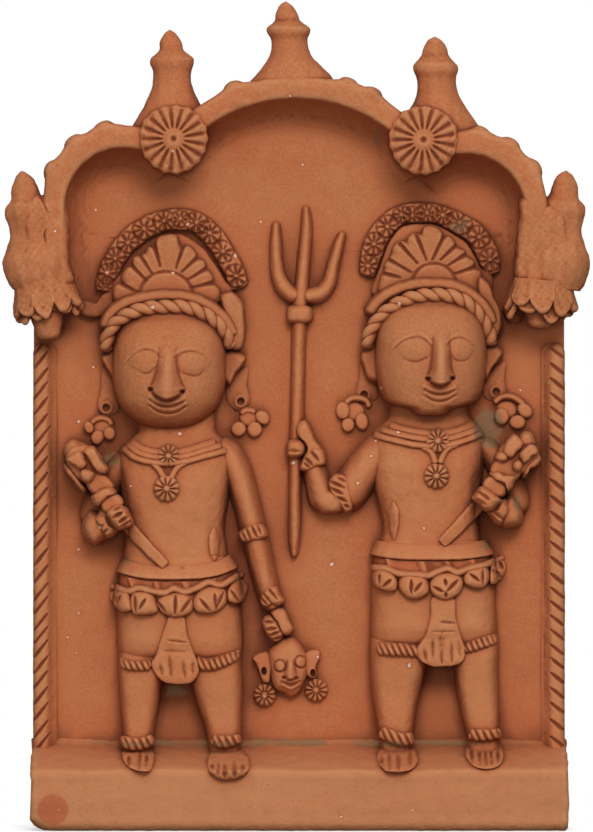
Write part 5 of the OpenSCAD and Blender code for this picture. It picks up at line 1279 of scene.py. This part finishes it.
# Each club arm: rows of the arm, outlines of elbow and fist, cuts between the fingers and their depth
CLUB_ARMS = [([(130, 455, 5, 11), (116, 472, 6, 12), (104, 492, 6.5, 12.5), (95, 512, 7, 13),
               (93, 528, 7, 14)],
              [(81.7, 529.9), (83.7, 517), (89.6, 509.5), (96, 509), (103, 514), (109, 526), (110, 537),
               (102.5, 541.9), (94.5, 545.7), (87.6, 541.9), (83.2, 536)],
              [(106.4, 512), (110.4, 507.1), (118.3, 503.2), (126.2, 507.1), (131.1, 515), (134.1, 521),
               (132.1, 525), (126.2, 527.9), (119.3, 529.9), (114.3, 525.9), (109.4, 519)],
              [[(114, 509.6), (121, 506.2)], [(114, 517.2), (123, 512)], [(119.6, 522.2), (128.4, 516.6)],
               [(123, 526), (133, 520)]], 2.6),
             ([(478, 441, 5, 11), (494, 457, 6, 12), (508, 480, 6.5, 12.5), (515, 500, 7, 13),
               (513, 516, 7, 14)],
              [(500, 500), (504, 496.8), (510.7, 493.2), (517.9, 500.4), (522.3, 509.3), (523.2, 516.4),
               (520.5, 525.4), (514.3, 528), (505.4, 528.5), (498, 525), (495, 512)],
              [(471.4, 497.7), (475, 492.3), (480.4, 486.1), (487.5, 487.9), (496.4, 495), (500.9, 500.4),
               (496.4, 505.7), (492.9, 510.2), (485.7, 511.1), (478.6, 504.8)],
              [[(477, 491), (488, 499)], [(473.6, 497.4), (484.6, 504.4)]], 2.0)]
RAISED_ARM = [(393, 435, 7, 14), (379, 452, 8.6, 16), (365, 469, 9.3, 16.5), (353, 486, 9.4, 16.5),
              (343, 499, 8.4, 16), (337, 506, 7, 15)]
RAISED_FOREARM = [(332, 507, 7.6, 15.5), (324.5, 498, 7.4, 15.5), (319, 484, 6.2, 15), (315, 470, 5.6, 14.5),
                  (312.5, 460, 5.2, 14)]
RAISED_ELBOW = [(312.6, 500), (318.3, 510), (323.6, 513.5), (333.6, 514), (343.5, 511), (350, 504),
                (346, 494), (332, 488), (318, 490)]
RAISED_THUMB = [(286, 450), (288, 441.5), (295, 438.5), (303, 441), (306.5, 448), (304.5, 455), (298, 458.5),
                (290, 458), (286.5, 455)]
RAISED_CREASE = [[(287, 451), (300, 451.6)]]
RAISED_HAND = [(295.3, 427), (299, 421.5), (303.7, 419.8), (307.5, 422.5), (310.6, 427.2), (316, 440.2),
               (322.8, 448.7), (326, 457), (322, 465), (310, 468), (306, 460), (306.5, 449), (303, 441),
               (297, 435)]
# Each ring: outline, height, cuts, squareness, depth and width of the cuts
ARM_RINGS = [([(238, 534), (243, 528), (252, 523), (262, 523.5), (267, 530), (268, 536), (262, 540),
               (251, 542.5), (242, 542)], 18.2,
              [[(246, 528), (251, 540)], [(251, 525), (257, 537)], [(241, 531), (246, 541)],
               [(257, 524), (261, 534)]], 4, 1.8, 0.75),
             ([(259.5, 601), (262, 592), (268, 586), (276, 586), (281, 594), (285, 602), (280, 606),
               (272, 606), (266, 608.5), (261, 606)], 16.5,
              [[(266.5, 586.6), (277, 599)], [(262.6, 593), (271.6, 603.4)], [(260.6, 597.6), (267, 605)]], 4,
              1.8, 0.75),
             ([(94.5, 517), (99.5, 512), (104.4, 512), (108.4, 519), (112.3, 525.9), (118.3, 530.8),
               (113.3, 536.8), (108.4, 538.3), (103.4, 534.8), (98.5, 526.9)], 28.0,
              [[(98, 529), (104, 524.6)], [(102.6, 533.4), (108.4, 529)]], 4, 1.6, 0.9),
             ([(486.6, 512), (493.8, 509.3), (500.9, 499.5), (503.6, 497.7), (509.8, 505.7), (508.9, 513.8),
               (503.6, 520.9), (500.9, 525.4), (495.5, 524.5), (489.3, 517.3)], 28.0,
              [[(501.8, 499.5), (509, 506.8)], [(492, 511), (503, 519.3)], [(487.5, 513.8), (497, 522.2)]], 4,
              1.8, 0.9),
             ([(328, 482), (334, 474), (345, 475), (351, 488), (353, 502), (352, 511), (347, 513), (340, 506),
               (332, 496)], 17.6,
              [[(337.4, 477.4), (346.4, 482)], [(329.8, 481.4), (344, 487.6)], [(331, 488.3), (342.6, 494)],
               [(337, 497), (346.8, 501.8)], [(344, 504.6), (349.4, 507.5)]], 5, 2.2, 1.0),
             ([(300, 470), (303, 458), (307, 451), (314, 447), (322.8, 448.7), (326.4, 458), (326, 464),
               (316, 468), (307, 471.5)], 16.2,
              [[(310.2, 450.6), (318.6, 460.4)], [(304.8, 458), (311.8, 464.6)],
               [(304, 462.8), (309.4, 467.4)]], 4.5, 2.2, 0.9)]
fired("left_hanging_arm", [roll(drawn(HANGING_ARM), n=123, m=34, ends=(0.9, 0.6)),
                           leaf(HANGING_HAND, 16.0, 0.0, HANGING_FINGERS, p=3.4, deep=2.2, w=1.0),
                           leaf(HANGING_THUMB, 14.0, 0.0, p=5)], body_clay)
for side, (arm, elbow, fist, fingers, deep) in zip(SIDES, CLUB_ARMS):
    fired(side + "_club_arm", [roll(drawn(arm), n=85, m=31), leaf(elbow, 23.0, 0.0, p=3.0),
                               leaf(fist, 18.5, 18.0, fingers, p=3.6, deep=deep, w=1.0, sink=18)], body_clay)
fired("right_raised_arm", [roll(drawn(RAISED_ARM), n=92, m=34, ends=(0.9, 0.9)),
                           roll(drawn(RAISED_FOREARM), n=85, m=34), leaf(RAISED_ELBOW, 16.2, 0.0, p=3.2),
                           leaf(RAISED_THUMB, 15.0, 0.0, RAISED_CREASE, p=3.2, deep=1.6, w=1.0),
                           leaf(RAISED_HAND, 14.0, 0.0, p=4.5)], body_clay)
fired("arm_rings", [leaf(e, high, 0.0, v, p=q, deep=deep, w=w) for e, high, v, q, deep, w in ARM_RINGS],
      body_clay, 0.1)


def club(lobes, blade, f):
    """Club of pressed lumps, each a pad [outline, level it stands on, height, squareness], and a flat blade
    below the fist that lies on the body."""
    grids = [leaf(e, h, low, p=q, sink=low) for e, low, h, q in lobes]
    return grids + [roll(drawn(blade), base=lambda x, z: np.maximum(chest(f)(x, z), 12.0), n=69, m=23, e=5,
                         ends=(0.1, 0.1), flare=0.2)]


# Each club: lumps as outline, level, height and squareness, and rows of the blade
CLUBS = [([([(66, 458), (72, 447), (84, 444.6), (94, 448), (105, 464), (106, 472), (97, 480), (88, 484),
             (78, 479), (70, 469)], 16.0, 13.0, 5.0),
           ([(100, 510), (112, 505), (126, 510), (131, 521), (120, 530), (110, 536.5), (99, 530)], 8.0, 18.0,
            5.0),
           ([(63.4, 451.3), (65.9, 443.8), (72.8, 439.4), (79.7, 441.4), (86.6, 444.8), (87, 452), (80, 456),
             (71, 460), (64.9, 456)], 8.0, 16.0, 3.0),
           ([(66.9, 459.7), (71.8, 454.2), (79.7, 450.3), (83.7, 453.7), (86.6, 459.7), (88.6, 464.6),
             (84.7, 468.6), (79.7, 469.8), (75.8, 467), (70.8, 464)], 20.0, 14.0, 4.0),
           ([(83.9, 450.3), (88.6, 446.3), (93.6, 446.3), (97.5, 451.3), (101.5, 458.7), (106.4, 464.6),
             (108.9, 469.5), (106.4, 474), (101.5, 474.5), (97.5, 472.5), (93.6, 468.6), (89.6, 462.6),
             (86, 455.7)], 20.0, 14.0, 4.0),
           ([(79.2, 473.5), (81.7, 469.5), (88.6, 468), (95.8, 472.8), (94.7, 478.4), (89.6, 483.4),
             (84.7, 482.4), (80.7, 478.4)], 20.0, 15.0, 3.2),
           ([(64.4, 464.6), (67, 464.2), (71.8, 469.2), (77.7, 476.2), (84.7, 485.2), (88, 491.3),
             (85.6, 493.6), (79.7, 489.5), (73.8, 481.6), (67.9, 474.7), (64.4, 468.8)], 10.0, 17.0, 3.4),
           ([(84, 468), (94, 464), (104, 473), (114, 487), (106, 497), (94, 494), (86, 484)], 18.0, 10.5,
            6.0),
           ([(92.6, 501.2), (91.6, 498.2), (96.5, 491.3), (104.4, 486.3), (112.3, 486.3), (116.5, 493.3),
             (110.4, 496.6), (102.5, 503.4), (98.5, 506.3), (93.6, 503.9)], 18.0, 15.0, 3.4),
           ([(101, 505), (112, 494), (118, 494.5), (124, 502), (120, 510), (110, 514), (104, 511)], 18.0,
            12.0, 6.0)],
          [(118, 515, 3.2, 5.4), (128, 526, 3.2, 4.4), (145, 545, 3.0, 3.6), (158, 558, 2.7, 3.0),
           (166, 566, 2.3, 2.0)]),
         ([([(497, 455), (508, 440), (520, 437), (532, 444.6), (538, 455), (530, 466), (522, 474), (510, 472),
             (498, 462)], 16.0, 13.0, 5.0),
           ([(476, 495), (484, 489), (496, 495), (507, 503), (508, 513), (500, 524), (490, 515), (480, 505)],
            8.0, 18.0, 5.0),
           ([(501.8, 449.5), (508, 437.9), (514.3, 434.7), (519.6, 437.9), (523.2, 442.3), (522.3, 446.8),
             (517, 453), (510.7, 459.3), (505.4, 457.8), (501.6, 454)], 20.0, 14.0, 4.0),
           ([(517, 438), (519.6, 434.5), (524.1, 431.6), (530.4, 432.5), (533.9, 437.9), (534.8, 444),
             (530, 448), (521, 448)], 10.0, 20.0, 3.4),
           ([(517, 455.7), (523.2, 447.7), (530.4, 443.2), (536.6, 447.7), (537.5, 453), (532.1, 456.8),
             (525.9, 463), (522.3, 464), (518.8, 459.5)], 20.0, 14.5, 4.0),
           ([(524, 466), (531.3, 457.6), (537.5, 453.7), (541.1, 458.4), (539.3, 463.8), (534.8, 467.3),
             (528.6, 469.3), (525, 477.3), (522, 478.4), (521, 471)], 10.0, 18.0, 3.4),
           ([(511.2, 466.4), (513.4, 460.2), (517.9, 458.2), (522.3, 462), (522.3, 468.2), (518.8, 472.8),
             (513.4, 471)], 20.0, 15.5, 3.0),
           ([(494.6, 458.4), (496.4, 453), (501.8, 451), (508, 454.8), (508, 460.4), (502.7, 462.4),
             (497.3, 461.3)], 20.0, 13.5, 3.2),
           ([(494, 461), (505, 456), (515, 462), (521, 473), (514, 481), (500, 479), (490, 472)], 18.0, 11.0,
            6.0),
           ([(488.8, 473.6), (495.5, 469.6), (503.6, 473.4), (510.7, 474.3), (517.4, 476.1), (514.5, 482.5),
             (511, 489.6), (508, 491.6), (504.5, 486.3), (497.3, 481.8), (490.6, 478.2)], 18.0, 15.0, 3.4),
           ([(482, 486), (489.3, 476), (498, 479), (506, 486), (503, 496), (494, 497), (486, 492)], 18.0,
            12.0, 6.0)],
          [(488, 497, 3.4, 5.4), (476, 508, 3.5, 4.6), (461, 524, 3.3, 3.8), (448, 537, 2.9, 3.0),
           (441, 543.5, 2.4, 2.0)])]
KNIVES = [[(214, 527), (218.4, 533), (219.6, 545), (218, 557), (214.6, 561), (211, 557), (208.6, 546),
           (210, 533)],
          [(393, 501), (397.6, 507), (399, 520), (397, 533), (394, 541), (390.6, 535), (388.6, 522),
           (389.4, 508)]]
STAFF = [(294, 558, 1.4, 5), (294.3, 545, 2.4, 6.6), (295, 500, 3.1, 8), (296, 450, 3.2, 8.5),
         (297.5, 400, 3.3, 8.5), (298.5, 350, 3.4, 8.5), (299.5, 320, 3.6, 9), (300.5, 300, 4, 9.5),
         (302, 280, 3.4, 9), (305, 250, 3.1, 8.5), (306.5, 222, 2.5, 7.5), (306, 205, 1.5, 5.5)]
PRONGS = [[(302, 296, 4, 9), (292, 294, 4.3, 9), (284, 287, 4.2, 9), (279, 277, 3.8, 8.6),
           (276.6, 262, 3.2, 8), (276, 240, 2.8, 7.4), (276, 221, 1.7, 5.6)],
          [(301, 297, 4, 9), (311, 295.4, 4.2, 9), (321, 293, 4.2, 9), (328, 284, 3.8, 8.6),
           (333, 267, 3.2, 8), (338, 247, 2.7, 7.4), (343, 231, 1.6, 5.4)]]
KNOT = [(286, 314), (288, 307), (294, 304.6), (305, 304.6), (311.6, 307), (313.6, 314), (311.6, 321),
        (305, 323.6), (294, 323.6), (288, 321)]
for f, side in enumerate(SIDES):
    fired(side + "_club", club(*CLUBS[f], f), body_clay)
fired("belt_knives", [leaf(KNIVES[f], 2.6, chest(f), p=2.2, sink=3) for f in (0, 1)], body_clay)
fired("trident", [roll(drawn(STAFF), n=200, m=26, flare=0.5)]
      + [roll(drawn(q), n=108, m=26, flare=0.5) for q in PRONGS] + [leaf(KNOT, 12.5, 0.0, p=3.2)], body_clay)

# Held head: outline, eyes, nostrils, line and lip of the mouth, ears with their holes, and earrings
HELD_EDGE = [(268.7, 651.4), (275, 643), (284, 637.6), (292.3, 637.1), (298, 641.4), (303.7, 648.6),
             (307.3, 655.7), (308, 664.3), (307.4, 675), (303.7, 684.3), (300.9, 690.7), (296.6, 695.7),
             (291.6, 697.9), (283, 693.6), (275.6, 690), (271.6, 682.1), (270.4, 671.4), (268.7, 662.1)]
HELD_EYES = [(279.8, 666.1), (300.9, 662.1)]
HELD_NOSTRILS = [(284.8, 678), (295.9, 678.4)]
HELD_MOUTH = [(282.4, 682.2), (290.6, 685), (299, 681.8)]
HELD_LIP = [(283, 685), (290.3, 688.8), (299.4, 684.4)]
HELD_DISCS = [(264.5, 695.6, 5.9, 0.2), (316.2, 690.8, 5.9, 0.0)]
HELD_EARS = [([(252, 658.4), (256, 654.6), (268, 652.6), (272, 658), (271, 676), (268.6, 684), (263, 682.6),
               (260, 676.5), (257.6, 669), (254.6, 662.6)], (264, 671.4)),
             ([(305, 653), (313.7, 650), (319.4, 650.7), (320.6, 657.1), (317, 664.3), (316, 670),
               (317, 674.3), (315.1, 678.4), (309, 678), (305, 674)], (313, 673.6))]


def held_face(x, z, r):
    """Small face: two flat pellet eyes, a nose that ends in a sharp base with nostrils, and a lip under a
    hollow mouth."""
    u = 0 * x
    for cx, cz in drawn(HELD_EYES):
        d = np.hypot(x - cx, z - cz)
        u = u + 1.7 * np.clip(1 - (d / 2.75) ** 4, 0, 1) ** 0.5 - 0.5 * bell(d - 3.0, 0.6)
    wide = np.interp(z, [74, 78, 84], [3.9, 3.0, 1.6])
    u = u + 3.2 * np.clip(1 - ((x + 4.3) / wide) ** 2, 0, 1) * step(74.4, 75.4, z) * step(87, 79, z)
    for cx, cz in drawn(HELD_NOSTRILS):
        u = u - 3.0 * bell(np.hypot((x - cx) * 0.8, (z - cz) * 1.2), 0.9)
    return u - 1.3 * scored(x, z, HELD_MOUTH, 0.9) + 1.3 * scored(x, z, HELD_LIP, 0.9)


def flap(edge, hole):
    """Flat ear with a hole drilled near its tip."""
    hx, hz = drawn([hole])[0]
    return pad(drawn(edge), 6.0, p=5, rings=35, n=116,
               detail=lambda x, z, r: -8.0 * step(1.7, 1.0, np.hypot((x - hx) * 1.15, (z - hz) * 0.8)))


fired("held_head", [pad(drawn(HELD_EDGE), 11.5, p=3.0, rings=62, n=185, detail=held_face)]
      + [flap(edge, hole) for edge, hole in HELD_EARS], body_clay, 0.08)
fired("held_head_earrings", [flower(x, z, r, 5.4, q, 0.0) for x, z, r, q in drawn(HELD_DISCS)],
      body_clay, 0.1, (1.0, 0.3))

height_map = skyline()
for piece in KILN:
    fire(*piece, height_map)


# Stage

FLOOR_SIDE, FLOOR_BACK, FLOOR_Z = 0.6, 0.06, -0.0004
CAMERA_X, CAMERA_FAR, CAMERA_Z = -0.00125, 5.0, 0.2065
PICTURE_FAR, PICTURE_HIGH, SENSOR = 4.998, 0.416, 24.0  # the picture's height at that distance


def lamp(name, watts, size, az, el, far):
    """Soft oblong lamp, far metres from the middle of the plaque, az to the right of the front, el above."""
    li = bpy.data.lights.new(name, "AREA")
    li.shape, li.energy = "RECTANGLE", watts
    li.size, li.size_y = size
    ob = bpy.data.objects.new(name, li)
    a, e = np.radians(az), np.radians(el)
    ob.location = (far * np.sin(a) * np.cos(e), -far * np.cos(a) * np.cos(e), 0.2 + far * np.sin(e))
    ob.rotation_euler = (PI / 2 - e, 0, a)
    bpy.context.scene.collection.objects.link(ob)


def stage():
    """Pale floor under the plaque, white surroundings for the camera, and the camera straight in front."""
    sc = bpy.context.scene
    me = bpy.data.meshes.new("floor")
    me.from_pydata([(-FLOOR_SIDE, -FLOOR_SIDE, FLOOR_Z), (FLOOR_SIDE, -FLOOR_SIDE, FLOOR_Z),
                    (FLOOR_SIDE, FLOOR_BACK, FLOOR_Z), (-FLOOR_SIDE, FLOOR_BACK, FLOOR_Z)], [],
                   [(0, 1, 2, 3)])
    paint = bpy.data.materials.new("pale_floor")
    paint.use_nodes = True
    t = paint.node_tree
    seen = add(t, "LightPath", {}).outputs["Is Camera Ray"]
    b = t.nodes["Principled BSDF"]
    t.links.new(blend(t, seen, (0.18, 0.17, 0.16, 1), (0.93, 0.93, 0.93, 1)), b.inputs["Base Color"])
    b.inputs["Emission Color"].default_value = (1, 1, 1, 1)
    t.links.new(span(t, seen, 0.0, 1.0, 0.0, 0.5), b.inputs["Emission Strength"])
    b.inputs["Roughness"].default_value = 0.95
    b.inputs["Specular IOR Level"].default_value = 0.0
    me.materials.append(paint)
    floor = bpy.data.objects.new("floor", me)
    sc.collection.objects.link(floor)

    world = bpy.data.worlds.new("white_room")
    sc.world = world
    world.use_nodes = True
    t = world.node_tree
    t.nodes.clear()
    path = add(t, "LightPath", {}).outputs
    seen = sums(t, "MAXIMUM", path["Is Camera Ray"], path["Is Glossy Ray"])
    seen = sums(t, "MAXIMUM", seen, path["Is Transmission Ray"])
    up = add(t, "SeparateXYZ", {0: add(t, "TexCoord", {}).outputs["Generated"]}).outputs[2]
    glow = span(t, up, -0.55, 0.9, 0.02, 0.5)
    soft = add(t, "Background", {"Color": (1, 1, 1, 1), "Strength": glow}).outputs[0]
    white = add(t, "Background", {"Color": (1, 1, 1, 1), "Strength": 1.0}).outputs[0]
    both = add(t, "MixShader", {0: seen, 1: soft, 2: white}).outputs[0]
    add(t, "OutputWorld", {"Surface": both})

    lamp("key_lamp", 25.0, (0.9, 0.6), 6, 27, 2.2)
    lamp("fill_lamp", 4.6, (0.7, 0.4), -8, -3, 1.4)

    cam = bpy.data.cameras.new("front_camera")
    cam.sensor_fit, cam.sensor_height = "VERTICAL", SENSOR
    cam.lens = SENSOR * PICTURE_FAR / PICTURE_HIGH
    ob = bpy.data.objects.new("front_camera", cam)
    ob.location = (CAMERA_X, -CAMERA_FAR, CAMERA_Z)
    ob.rotation_euler = (PI / 2, 0, 0)
    sc.collection.objects.link(ob)
    sc.camera = ob
    sc.view_settings.view_transform = "Standard"


stage()
